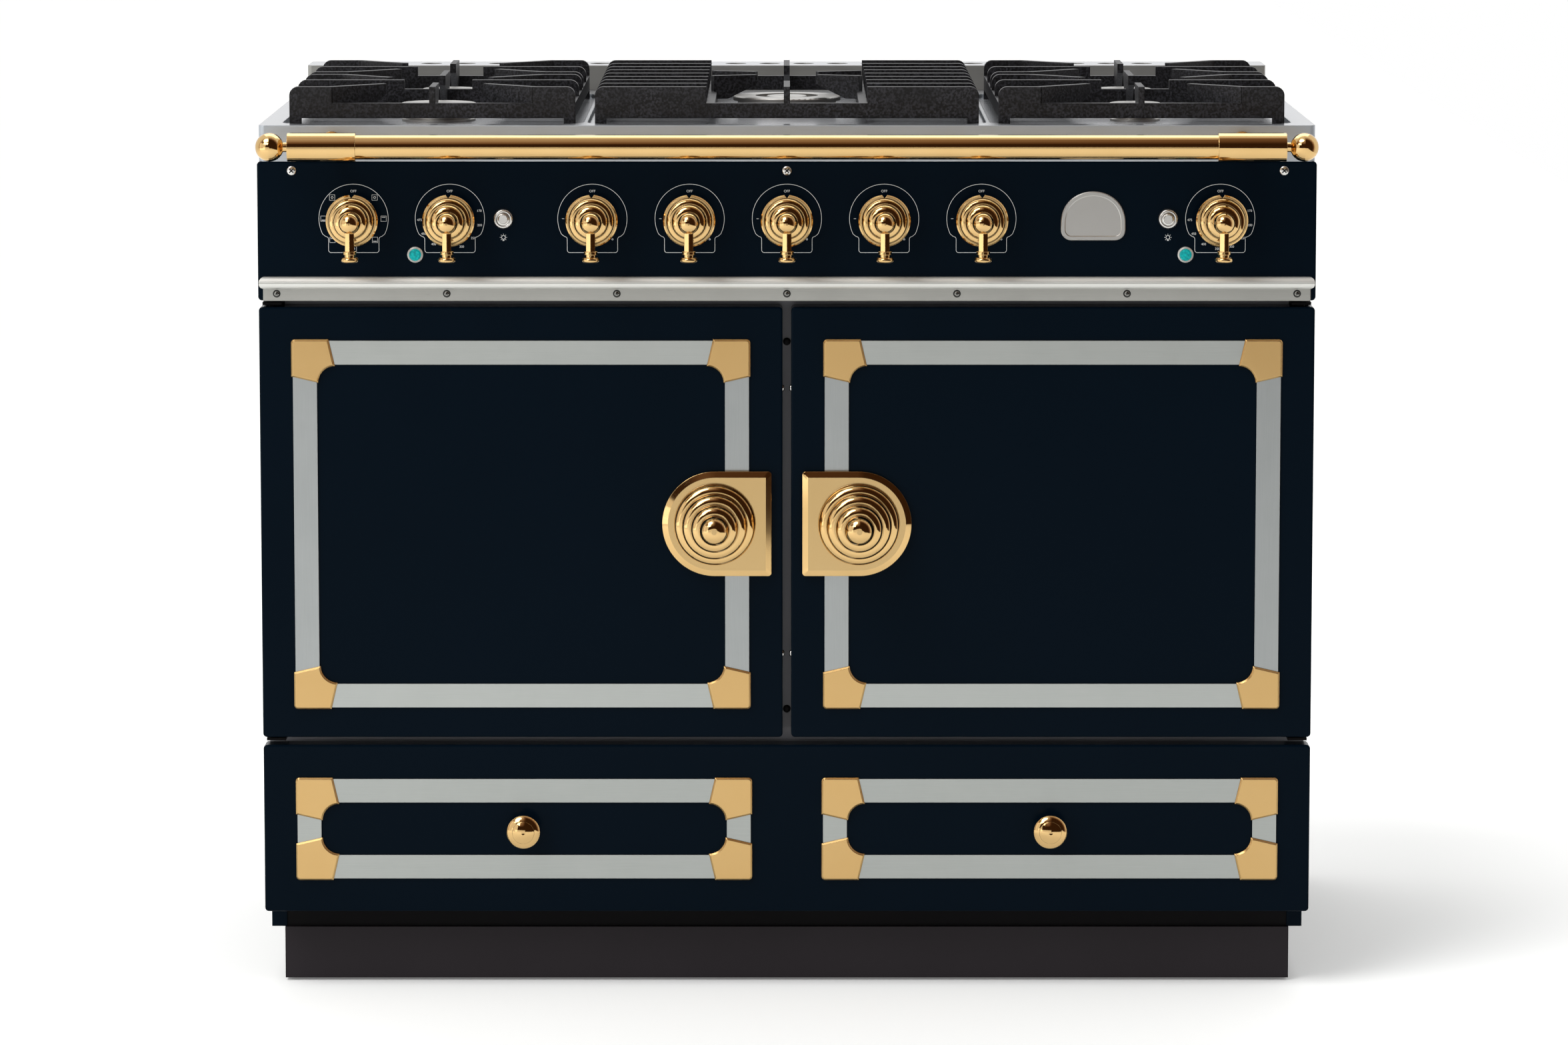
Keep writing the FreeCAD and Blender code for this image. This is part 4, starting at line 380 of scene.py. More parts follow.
@dataclass(frozen=True)
class CastIron:
    """Sand-cast iron under matt enamel: a dense grain of small pits, and slightly paler highs that are partly
    bare from use and partly painted glints.
    """

    name: str
    colour: str
    worn: str
    grain_mm: float = 2.4
    roughness: float = 0.46
    gloss_spread: float = 0.2
    specular: float = 0.35
    pit_strength: float = 1.0
    pit_depth_mm: float = 0.4
    high_range: Point = (0.42, 0.64)
    wear_mm: float = 45.0
    edge_mm: float = 1.4

    def build(self) -> bpy.types.Material:
        """Make the material; the grain is coarser than sand so that it shows from a step away.

        Returns:
            The material.
        """
        material, tree = new_material(self.name)
        noise = add_node(tree, "ShaderNodeTexNoise", inputs={
            "Vector": scaled_coordinates(tree, (self.grain_mm,) * 3), "Scale": 1.0, "Detail": 4.0})
        pits = noise.outputs["Fac"]
        wear = add_node(tree, "ShaderNodeTexNoise", inputs={
            "Vector": scaled_coordinates(tree, (self.wear_mm,) * 3), "Scale": 1.0, "Detail": 3.0})
        # Paler specks on the highs of the grain, within the clouds: partly wear from pans, partly painted
        # glints
        least, full = self.high_range
        highs = add_node(tree, "ShaderNodeMapRange", inputs={
            "Value": pits, "From Min": least, "From Max": full})
        rubbed_and_glinting = add_node(tree, "ShaderNodeMath", {"operation": "MULTIPLY"}, {
            0: wear.outputs["Fac"], 1: highs.outputs["Result"]})
        colour = add_node(tree, "ShaderNodeMix", {"data_type": "RGBA"}, {
            0: rubbed_and_glinting.outputs[0], 6: linear(self.colour), 7: linear(self.worn)})
        gloss = add_node(tree, "ShaderNodeMapRange", inputs={
            "Value": pits, "To Min": self.roughness * (1 - self.gloss_spread),
            "To Max": self.roughness * (1 + self.gloss_spread)})
        shader = add_node(tree, "ShaderNodeBsdfPrincipled", inputs={
            "Base Color": colour.outputs[2], "Roughness": gloss.outputs["Result"],
            "Normal": surface_normal(tree, pits, self.pit_strength, self.pit_depth_mm, self.edge_mm),
            "IOR": GLASS_IOR, "Specular IOR Level": self.specular})
        add_node(tree, "ShaderNodeOutputMaterial", inputs={"Surface": shader.outputs["BSDF"]})
        return material


@dataclass(frozen=True)
class MouldedPolymer:
    """Moulded plastic or rubber: one colour with a fine mould grain."""

    name: str
    colour: str
    roughness: float
    grain_mm: float = 0.8
    grain_strength: float = 0.15
    grain_depth_mm: float = 0.1
    gloss_spread: float = 0.15
    ior: float = 1.49

    def build(self) -> bpy.types.Material:
        """Make the material, with the mould's grain in its bump and gloss.

        Returns:
            The material.
        """
        material, tree = new_material(self.name)
        noise = add_node(tree, "ShaderNodeTexNoise", inputs={
            "Vector": scaled_coordinates(tree, (self.grain_mm,) * 3), "Scale": 1.0, "Detail": 2.0})
        grain = noise.outputs["Fac"]
        gloss = add_node(tree, "ShaderNodeMapRange", inputs={
            "Value": grain, "To Min": self.roughness * (1 - self.gloss_spread),
            "To Max": self.roughness * (1 + self.gloss_spread)})
        bump = add_node(tree, "ShaderNodeBump", inputs={
            "Strength": self.grain_strength, "Distance": self.grain_depth_mm * MM, "Height": grain})
        shader = add_node(tree, "ShaderNodeBsdfPrincipled", inputs={
            "Base Color": linear(self.colour), "Roughness": gloss.outputs["Result"],
            "Normal": bump.outputs["Normal"], "IOR": self.ior})
        add_node(tree, "ShaderNodeOutputMaterial", inputs={"Surface": shader.outputs["BSDF"]})
        return material


@dataclass(frozen=True)
class LampLens:
    """Tinted polycarbonate over a pilot lamp: a bright teal core fading to a darker rim."""

    name: str
    core: str
    rim: str
    facet_mm: float = 2.4
    roughness: float = 0.12
    ior: float = 1.58
    specular: float = 0.2
    glow: float = 0.2

    def build(self) -> bpy.types.Material:
        """Make the material; facets of the lens break the colour into small cells.

        Returns:
            The material.
        """
        material, tree = new_material(self.name)
        cells = add_node(tree, "ShaderNodeTexVoronoi", inputs={
            "Vector": scaled_coordinates(tree, (self.facet_mm,) * 3), "Scale": 1.0})
        colour = add_node(tree, "ShaderNodeMix", {"data_type": "RGBA"}, {
            0: cells.outputs["Distance"], 6: linear(self.core), 7: linear(self.rim)})
        shader = add_node(tree, "ShaderNodeBsdfPrincipled", inputs={
            "Base Color": colour.outputs[2], "Roughness": self.roughness, "IOR": self.ior,
            "Specular IOR Level": self.specular, "Emission Color": linear(self.core),
            "Emission Strength": self.glow})
        add_node(tree, "ShaderNodeOutputMaterial", inputs={"Surface": shader.outputs["BSDF"]})
        return material


class Finish(Enum):
    """Every finish on the cooker."""

    # Fired enamel, nearly black: its clear skin shows only a soft sheen
    NAVY = VitreousEnamel("navy_enamel", "#020B14", "#030D17")
    # Fired enamel on the plinth board: a warm black, dulled by its rougher skin
    BLACK = VitreousEnamel("black_enamel", "#221E21", "#2A2629", 0.45, 0.12)
    # Fired enamel on the frame behind the doors: a mid grey with a soft sheen
    FRAME = VitreousEnamel("frame_enamel", "#88888C", "#94949A", 0.35, 0.5)
    # Ground-coat enamel underneath: black and dull
    UNDERSIDE = VitreousEnamel("underside_enamel", "#0B0A0B", "#100F10", 0.5, 0.05)
    # Oven enamel: dark grey, glossy and with the clearest orange peel
    OVEN = VitreousEnamel("oven_enamel", "#232427", "#2E2F33", 0.3, 0.4, 3.0, 0.08)
    # Turned brass, buffed and lacquered: it mirrors the room; its flats are rougher and painted darker, a
    # painted shade for the dim room they mirror
    POLISHED_BRASS = WorkedMetal("polished_brass", "#DDBC86", "#CDA86C", 0.06, line_strength=0.01,
                                 edge_mm=0.8, second=SecondTone("#C9AC7B", "#BB9C69", 0.2))
    # Pressed brass with a satin rub: a broad glow and no mirrored edges
    SATIN_BRASS = WorkedMetal("satin_brass", "#CFAD76", "#C09C65", 0.25, line_mm=0.5, edge_mm=1.0)
    # Brushed stainless strip: lines along it spread its highlights
    STRIP_X = WorkedMetal("steel_strip_along_x", "#B6BAB7", "#9EA29F", 0.36, Grain.ALONG_X)
    # The same strip round a door: lines upright at the sides, level at top and bottom, where it is painted
    # lighter as a painted highlight
    STRIP_FRAME = WorkedMetal("steel_strip_frame", "#B2B6B6", "#989C9C", 0.36, Grain.ALONG_Z,
                              second=SecondTone("#BEC2BF", "#A6AAA7", 0.36, Lie.ENDS))
    # Rolled and brushed stainless: pale on the round; its flat is glossier and painted darker, a painted
    # shade for the dark room it faces
    MOULDING = WorkedMetal("steel_moulding", "#DFDFDB", "#D0D0CB", 0.45, Grain.ALONG_X, edge_mm=1.2,
                           metallic=0.6, second=SecondTone("#ACACA7", "#979792", 0.3))
    # Pressed stainless: bright where it lies flat, dull on its upright faces
    HOB_STEEL = WorkedMetal("hob_stainless", "#BEC0C4", "#AEB0B4", 0.24, Grain.ALONG_X, edge_mm=2.0,
                            metallic=0.75, second=SecondTone("#BCC2C8", "#AAB0B6", 0.5, Lie.UPRIGHT))
    # Folded stainless: as the hob, with its upright faces duller and painted greyer as painted shade
    VENT_STEEL = WorkedMetal("vent_stainless", "#BEC0C4", "#AEB0B4", 0.24, Grain.ALONG_X, edge_mm=2.0,
                             metallic=0.75, second=SecondTone("#A6A6A2", "#949490", 0.5, Lie.UPRIGHT))
    # Die-cast aluminium: a dull grey with a coarse grain
    BURNER_ALLOY = WorkedMetal("burner_alloy", "#A9A8A5", "#918F8C", 0.42, line_mm=0.9, line_strength=0.15)
    # Galvanised sheet: a dull, cloudy grey
    ZINC = WorkedMetal("zinc_sheet", "#A9ABAC", "#8F9293", 0.45, cloud_mm=18.0)
    # Chromed wire: bright, with clear highlights
    CHROME = WorkedMetal("chromed_wire", "#D5D6D7", "#C4C5C6", 0.12)
    # Turned steel with a satin polish: pale, with blurred highlights
    BUTTON_STEEL = WorkedMetal("satin_button_steel", "#DAD9D6", "#C8C7C3", 0.26, line_mm=0.4)
    # Cast pewter with a satin rub: a pale grey with hardly a highlight
    PEWTER = WorkedMetal("satin_pewter", "#C4C3C0", "#B1B0AC", 0.4, line_mm=0.4)
    # Machined brass: yellow, with blurred highlights
    TAP_BRASS = WorkedMetal("machined_brass", "#C9A562", "#AE8B4B", 0.32)
    # Sheathed tube tinted by heat: brown and dull
    ELEMENT = WorkedMetal("heat_tinted_tube", "#57514B", "#3F3A37", 0.45)
    # Polished screw steel: it mirrors the dark in front of it
    SCREW = WorkedMetal("dark_screw_steel", "#8E8E8A", "#6F6F6B", 0.14)
    # Cast iron: nearly black, with fine pale specks that are partly wear and partly painted glints
    IRON = CastIron("cast_iron", "#060608", "#3A3A40")
    # Moulded silicone rubber: black and matt
    GASKET = MouldedPolymer("gasket_rubber", "#141414", 0.75)
    # Moulded phenolic resin: black with a low sheen
    PHENOLIC = MouldedPolymer("phenolic_case", "#191919", 0.5)
    # Moulded rubber: black and soft-looking; the same black is painted shade in screw recesses and round sunk
    # screw heads
    BUFFER = MouldedPolymer("buffer_rubber", "#0C0C0D", 0.6)
    # Fired screen print: an even white film
    INK = MouldedPolymer("white_print", "#D4D6D6", 0.5, grain_strength=0.02)
    # Moulded polycarbonate: clear teal, as if lit from behind
    LENS = LampLens("teal_lens", "#06AEAC", "#035D62")


@dataclass
class FinishRack:
    """Builds each finish once and hands it out."""

    made: dict[Finish, bpy.types.Material] = field(default_factory=dict)

    def get(self, finish: Finish) -> bpy.types.Material:
        """Look up the material of a finish, which is made on first use.

        Args:
            finish: The finish.

        Returns:
            Its material.
        """
        if finish not in self.made:
            self.made[finish] = finish.value.build()
        return self.made[finish]

    def coat(self, piece: bpy.types.Object, finish: Finish) -> None:
        """Give a whole piece one finish.

        Args:
            piece: The mesh or text object.
            finish: The finish for all its slots.
        """
        material = self.get(finish)
        if not piece.material_slots:
            piece.data.materials.append(material)
        for slot in piece.material_slots:
            slot.material = material


# Mesh helpers


def make_object(name: str, mesh: bmesh.types.BMesh) -> bpy.types.Object:
    """Turn a bmesh into an object of the scene.

    Args:
        name: The object's name.
        mesh: The geometry, which is freed.

    Returns:
        The linked object.
    """
    bmesh.ops.recalc_face_normals(mesh, faces=mesh.faces)
    data = bpy.data.meshes.new(name)
    mesh.to_mesh(data)
    mesh.free()
    piece = bpy.data.objects.new(name, data)
    bpy.context.scene.collection.objects.link(piece)
    return piece


def smooth(piece: bpy.types.Object, angle: float = 35.0) -> None:
    """Shade a new piece smooth apart from its sharp edges.

    Args:
        piece: The object to shade.
        angle: Edges sharper than this many degrees stay sharp.
    """
    mesh = bmesh.new()
    mesh.from_mesh(piece.data)
    for face in mesh.faces:
        face.smooth = True
    for edge in mesh.edges:
        edge.smooth = edge.calc_face_angle(0) < math.radians(angle)
    mesh.to_mesh(piece.data)
    mesh.free()


def ribbon(mesh: bmesh.types.BMesh, path: Sequence[Point], width: float, closed: bool) -> None:
    """Add a flat printed line along a path in the plane of the panel.

    Args:
        mesh: The bmesh that receives the line.
        path: Points (x, z) in millimetres.
        width: The line's width.
        closed: Whether the last point joins the first.
    """
    count = len(path)
    spots = [Vector(point) for point in path]
    sides: list[tuple[bmesh.types.BMVert, bmesh.types.BMVert]] = []
    for number, spot in enumerate(spots):
        before = spots[number - 1] if closed or number else spot
        after = spots[(number + 1) % count] if closed or number < count - 1 else spot
        run = (after - before).normalized()
        normal = Vector((-run.y, run.x)) * width / 2
        sides.append(tuple(mesh.verts.new(((spot + normal * hand).x * MM, 0.0, (spot + normal * hand).y * MM))
                           for hand in (-1, 1)))
    pairs = list(zip(sides, sides[1:] + sides[:1])) if closed else list(zip(sides, sides[1:]))
    for (low, high), (next_low, next_high) in pairs:
        mesh.faces.new((low, next_low, next_high, high))


def drawn_in(path: Sequence[Point], inset: float) -> list[Point]:
    """Draw a closed anticlockwise path in by the same distance all round.

    Args:
        path: The points of the path.
        inset: The distance.

    Returns:
        The points of the smaller path.
    """
    moved = []
    for number, (x, z) in enumerate(path):
        before = Vector(path[number - 1])
        along = (Vector(path[(number + 1) % len(path)]) - before).normalized()
        moved.append((x - along.y * inset, z + along.x * inset))
    return moved


def arc(centre: Point, radius: float, start: float, end: float, steps: int = 24) -> list[Point]:
    """Points along an arc.

    Args:
        centre: The arc's centre.
        radius: Its radius.
        start: The first point's angle in degrees, anticlockwise from the right.
        end: The last point's angle.
        steps: How many chords it has.

    Returns:
        The points, both ends included.
    """
    angles = [math.radians(start + (end - start) * step / steps) for step in range(steps + 1)]
    return [(centre[0] + radius * math.cos(angle), centre[1] + radius * math.sin(angle)) for angle in angles]


def lathe(mesh: bmesh.types.BMesh, profile: Sequence[Point], where: Vector, steps: int = 24) -> None:
    """Add a turned piece that stands out of the front.

    Args:
        mesh: The bmesh that receives the piece.
        profile: Points (radius, reach) in millimetres from the back to the tip.
        where: The axis's foot in metres.
        steps: How many facets it has round its axis.
    """
    rings: list[list[bmesh.types.BMVert]] = []
    for radius, reach in profile:
        if radius == 0:
            rings.append([mesh.verts.new(where + Vector((0, -reach * MM, 0)))])
            continue
        ring = []
        for step in range(steps):
            angle = 2 * math.pi * step / steps
            offset = Vector((radius * math.cos(angle), -reach, radius * math.sin(angle))) * MM
            ring.append(mesh.verts.new(where + offset))
        rings.append(ring)
    for low, high in zip(rings, rings[1:]):
        for step in range(steps):
            corners = [low[step % len(low)], low[(step + 1) % len(low)],
                       high[(step + 1) % len(high)], high[step % len(high)]]
            unique = list(dict.fromkeys(corners))
            if len(unique) > 2:
                mesh.faces.new(unique)
    if len(rings[0]) > 1:
        mesh.faces.new(rings[0])


# Sub-assemblies


@dataclass
class Casing:
    """Finishes of the frame's own nodes, by node name."""

    rack: FinishRack
    frame: Mapping[str, object]
    finishes: dict[Finish, tuple[str, ...]] = field(default_factory=lambda: {
        Finish.NAVY: ("door_panel_left", "door_panel_right", "drawer_front", "control_panel",
                      "side_panel_left", "side_panel_right"),
        Finish.BLACK: ("plinth",),
        Finish.UNDERSIDE: ("base_tray", "hinge_brackets"),
        Finish.FRAME: ("front_frame",),
        Finish.OVEN: ("oven_cavity_left", "oven_cavity_right", "door_liner_left", "door_liner_right"),
        Finish.STRIP_X: ("drawer_trim",),
        Finish.MOULDING: ("panel_trim",),
        Finish.STRIP_FRAME: ("door_trim_left", "door_trim_right"),
        Finish.HOB_STEEL: ("hob_top",),
        Finish.VENT_STEEL: ("rear_vent",),
        Finish.POLISHED_BRASS: (
            "towel_rail", "drawer_knobs", "door_handle_left", "door_handle_right", "knob_selector",
            "knob_left_oven", "knob_right_oven", "knob_burner_1", "knob_burner_2", "knob_burner_3",
            "knob_burner_4", "knob_burner_5"),
        Finish.SATIN_BRASS: ("door_corners_left", "door_corners_right", "drawer_corners"),
        Finish.IRON: ("grate_left", "grate_centre", "grate_right"),
        Finish.BURNER_ALLOY: ("burner_bases", "burner_caps"),
        Finish.TAP_BRASS: ("gas_manifold", "tap_cone_1", "tap_cone_2", "tap_cone_3", "tap_cone_4",
                           "tap_cone_5"),
        Finish.ZINC: ("back_panel", "drawer_box", "drawer_runners", "fan_housings",
                      "oven_fan_left", "oven_fan_right", "levelling_feet"),
        Finish.CHROME: ("oven_racks",),
        Finish.ELEMENT: ("heating_elements",),
        Finish.GASKET: ("oven_seals",),
        Finish.PHENOLIC: ("oven_controls",),
        Finish.BUTTON_STEEL: ("light_button_left", "light_button_right"),
        Finish.LENS: ("pilot_lamps",),
    })

    def dress(self) -> None:
        """Coat every node with its finish."""
        for finish, names in self.finishes.items():
            for name in names:
                self.rack.coat(self.frame["nodes"][name], finish)
                LOG.info("coated %s with %s", name, finish.value.name)


@dataclass
class PanelPrint:
    """White marks printed on the control panel: dial outlines, words, ticks and icons."""

    rack: FinishRack
    line_width: float = 0.45
    lift: float = 0.12
    outline_radius: float = 36.0
    outline_end: float = -26.3
    shoulder: tuple[Point, ...] = ((29.6, -18.2), (27.4, -19.1), (26.5, -20.0), (26.2, -21.4))
    foot_drop: float = 35.3
    foot_corner: float = 2.6
    word_size: float = 3.7
    word_radius: float = 28.6
    number_size: float = 3.4
    number_radius: float = 31.6
    tick_length: float = 2.4
    spark: Point = (20.8, -21.5)
    spark_radius: float = 0.8
    icon_size: float = 5.6
    icon_radius: float = 31.2
    icon_step: float = 45.0
    icon_places: int = 7
    icon_kinds: int = 3
    icon_bar: float = 0.7
    icon_dot: float = 0.4
    # A bar's height as a share of half the icon, and its weight
    floor_bar: Point = (-0.55, 1.6)
    roof_bar: Point = (0.5, 1.2)
    bulb_drop: float = 19.5
    bulb_radius: float = 3.0
    bulb_share: float = 0.66
    bulb_weight: float = 1.3
    ray_reach: Point = (0.95, 1.25)
    ray_angles: tuple[int, ...] = (0, 45, 90, 135, 180, 225, 315)
    cap_half: float = 1.0
    cap_weight: float = 2.0
    oven_numbers: tuple[str, ...] = ("170", "200", "250", "300", "350", "400", "450", "475")
    number_start: float = 15.0
    number_step: float = -27.5

    def build(self, face: float, knobs: Mapping[str, Vector], buttons: Sequence[Vector]) -> None:
        """Print everything on the panel.

        Args:
            face: The panel's front in metres along y.
            knobs: Each knob's axis at the panel, by name.
            buttons: Each light button's axis at the panel.
        """
        level = face - self.lift * MM
        for name, axis in knobs.items():
            spot = Vector((axis.x, level, axis.z))
            self.dial(f"print_dial_{name}", name, spot)
            above = spot + Vector((0, 0, self.word_radius * MM))
            self.word(f"print_off_{name}", "OFF", above, self.word_size)
            if name in ("left_oven", "right_oven"):
                self.numbers(name, spot)
        for number, axis in enumerate(buttons, start=1):
            spot = Vector((axis.x, level, axis.z - self.bulb_drop * MM))
            self.bulb(f"print_bulb_{number}", spot)

    def dial(self, name: str, kind: str, spot: Vector) -> None:
        """Print one dial's outline with its ticks or icons.

        Args:
            name: The piece's name.
            kind: The knob's name.
            spot: The dial's centre in metres.
        """
        mesh = bmesh.new()
        ribbon(mesh, self.outline(), self.line_width, True)
        if kind.startswith("burner"):
            tick = [(-self.number_radius, 0.0), (-self.number_radius + self.tick_length, 0.0)]
            ribbon(mesh, tick, self.line_width, False)
            ribbon(mesh, arc(self.spark, self.spark_radius, 0, 360, steps=8)[:-1], self.line_width, True)
        elif kind == "selector":
            for step in range(1, self.icon_places + 1):
                angle = math.radians(90 - self.icon_step * step)
                centre = (self.icon_radius * math.cos(angle), self.icon_radius * math.sin(angle))
                self.icon(mesh, centre, step)
        self.ride(make_object(name, mesh), spot)

    def outline(self) -> list[Point]:
        """The round outline with its square foot.

        Returns:
            A closed path round the dial's centre in millimetres.
        """
        round_part = arc((0, 0), self.outline_radius, self.outline_end, 180 - self.outline_end, steps=56)
        corner = self.foot_corner
        half = self.shoulder[-1][0]
        low = -self.foot_drop
        right = arc((half - corner, low + corner), corner, 270, 360, steps=6)
        left = arc((corner - half, low + corner), corner, 180, 270, steps=6)
        left_shoulder = [(-x, z) for x, z in self.shoulder]
        return [*round_part, *left_shoulder, *left, *right, *reversed(self.shoulder)]

    def icon(self, mesh: bmesh.types.BMesh, centre: Point, step: int) -> None:
        """Print a small oven symbol: a square with a line or a dot that shows the heat.

        Args:
            mesh: The bmesh that receives the symbol.
            centre: The symbol's centre in millimetres.
            step: Which of the dial's places it marks.
        """
        half = self.icon_size / 2
        x, z = centre
        square = [(x - half, z - half), (x + half, z - half), (x + half, z + half), (x - half, z + half)]
        ribbon(mesh, square, self.line_width, True)
        kind = step % self.icon_kinds
        if kind == 1:
            dot = arc(centre, half * self.icon_dot, 0, 360, steps=10)[:-1]
            ribbon(mesh, dot, self.line_width, True)
            return
        level, weight = self.floor_bar if kind == 0 else self.roof_bar
        bar = [(x + half * self.icon_bar * hand, z + half * level) for hand in (-1, 1)]
        ribbon(mesh, bar, self.line_width * weight, False)

    def numbers(self, name: str, spot: Vector) -> None:
        """Print a thermostat's numbers clockwise round the dial's foot.

        Args:
            name: The knob's name.
            spot: The dial's centre in metres.
        """
        for place, text in enumerate(self.oven_numbers):
            angle = math.radians(self.number_start + self.number_step * place)
            offset = Vector((math.cos(angle), 0, math.sin(angle))) * self.number_radius * MM
            self.word(f"print_{name}_{text}", text, spot + offset, self.number_size)

    def bulb(self, name: str, spot: Vector) -> None:
        """Print a lamp symbol: a small ring with rays and a cap.

        Args:
            name: The piece's name.
            spot: Its centre in metres.
        """
        mesh = bmesh.new()
        radius = self.bulb_radius
        glass = arc((0, 0), radius * self.bulb_share, 0, 360, steps=16)[:-1]
        ribbon(mesh, glass, self.line_width * self.bulb_weight, True)
        for angle in self.ray_angles:
            ray = [arc((0, 0), radius * reach, angle, angle, steps=1)[0] for reach in self.ray_reach]
            ribbon(mesh, ray, self.line_width, False)
        cap = [(-self.cap_half, -radius), (self.cap_half, -radius)]
        ribbon(mesh, cap, self.line_width * self.cap_weight, False)
        self.ride(make_object(name, mesh), spot)

    def word(self, name: str, text: str, spot: Vector, size: float) -> None:
        """Print a word upright on the panel.

        Args:
            name: The piece's name.
            text: What it says.
            spot: Its middle in metres.
            size: The letters' height in millimetres.
        """
        curve = bpy.data.curves.new(name, "FONT")
        curve.body = text
        curve.size = size * MM
        curve.align_x = "CENTER"
        curve.align_y = "CENTER"
        piece = bpy.data.objects.new(name, curve)
        bpy.context.scene.collection.objects.link(piece)
        piece.rotation_euler = (math.radians(90), 0, 0)
        self.ride(piece, spot)

    def ride(self, piece: bpy.types.Object, spot: Vector) -> None:
        """Ink a mark, put it in place and fix it to the chassis.

        Args:
            piece: The mark.
            spot: Its place in metres.
        """
        piece.location = spot
        self.rack.coat(piece, Finish.INK)
        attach(piece, CHASSIS)
        LOG.info("printed %s", piece.name)


@dataclass
class BadgePlate:
    """A bare arch-topped plate on the panel with a raised rim."""

    rack: FinishRack
    x: float = 318.0
    drop: float = 3.0
    half_width: float = 33.5
    height: float = 51.0
    corner: float = 11.0
    thickness: float = 3.0
    rim: float = 4.0
    recess: float = 0.6
    bevel: float = 0.8
    side_share: float = 1.5
    crown_power: float = 0.86
    crown_step: int = 5

    def outline(self) -> list[Point]:
        """The plate's outer edge, anticlockwise round its middle.

        Returns:
            A closed path in millimetres.
        """
        half = self.half_width
        low = -self.height / 2
        side = low + self.corner * self.side_share
        crown = self.height - self.corner * self.side_share
        turns = [math.radians(angle) for angle in range(0, 181, self.crown_step)]
        top = [(half * math.cos(turn), side + crown * math.sin(turn) ** self.crown_power) for turn in turns]
        left = arc((self.corner - half, low + self.corner), self.corner, 180, 270, steps=8)
        right = arc((half - self.corner, low + self.corner), self.corner, 270, 360, steps=8)
        return [*top, *left, *right]

    def build(self, face: float, level: float) -> None:
        """Make the plate and fix it to the panel.

        Args:
            face: The panel's front in metres along y.
            level: The knobs' height in metres.
        """
        mesh = bmesh.new()
        rings = []
        steps = ((0.0, 0.0), (0.0, self.thickness - self.bevel), (self.bevel, self.thickness),
                 (self.rim, self.thickness), (self.rim + self.bevel, self.thickness - self.recess))
        for inset, reach in steps:
            path = drawn_in(self.outline(), inset)
            rings.append([mesh.verts.new((x * MM, -reach * MM, z * MM)) for x, z in path])
        for low, high in zip(rings, rings[1:]):
            for number in range(len(low)):
                following = (number + 1) % len(low)
                mesh.faces.new((low[number], low[following], high[following], high[number]))
        mesh.faces.new(rings[-1])
        mesh.faces.new(rings[0])
        piece = make_object("badge_plate", mesh)
        piece.location = (self.x * MM, face, level + self.drop * MM)
        smooth(piece)
        self.rack.coat(piece, Finish.PEWTER)
        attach(piece, CHASSIS)
        LOG.info("made %s", piece.name)


@dataclass
class ButtonRings:
    """Domed steel rings on the bezels of the light buttons."""

    rack: FinishRack
    profile: tuple[Point, ...] = ((10.7, 0.0), (10.7, 1.6), (10.3, 3.6), (9.5, 5.0), (8.5, 5.7), (7.5, 5.6),
                                  (6.7, 5.05))
    smooth_angle: float = 60.0

    def build(self, face: float, buttons: Sequence[Vector]) -> None:
        """Lay a ring on each bezel.

        Args:
            face: The panel's front in metres along y.
            buttons: Each light button's axis at the panel.
        """
        for number, axis in enumerate(buttons, start=1):
            mesh = bmesh.new()
            lathe(mesh, self.profile, Vector((axis.x, face, axis.z)))
            piece = make_object(f"button_ring_{number}", mesh)
            smooth(piece, self.smooth_angle)
            self.rack.coat(piece, Finish.BUTTON_STEEL)
            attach(piece, CHASSIS)
            LOG.info("made %s", piece.name)


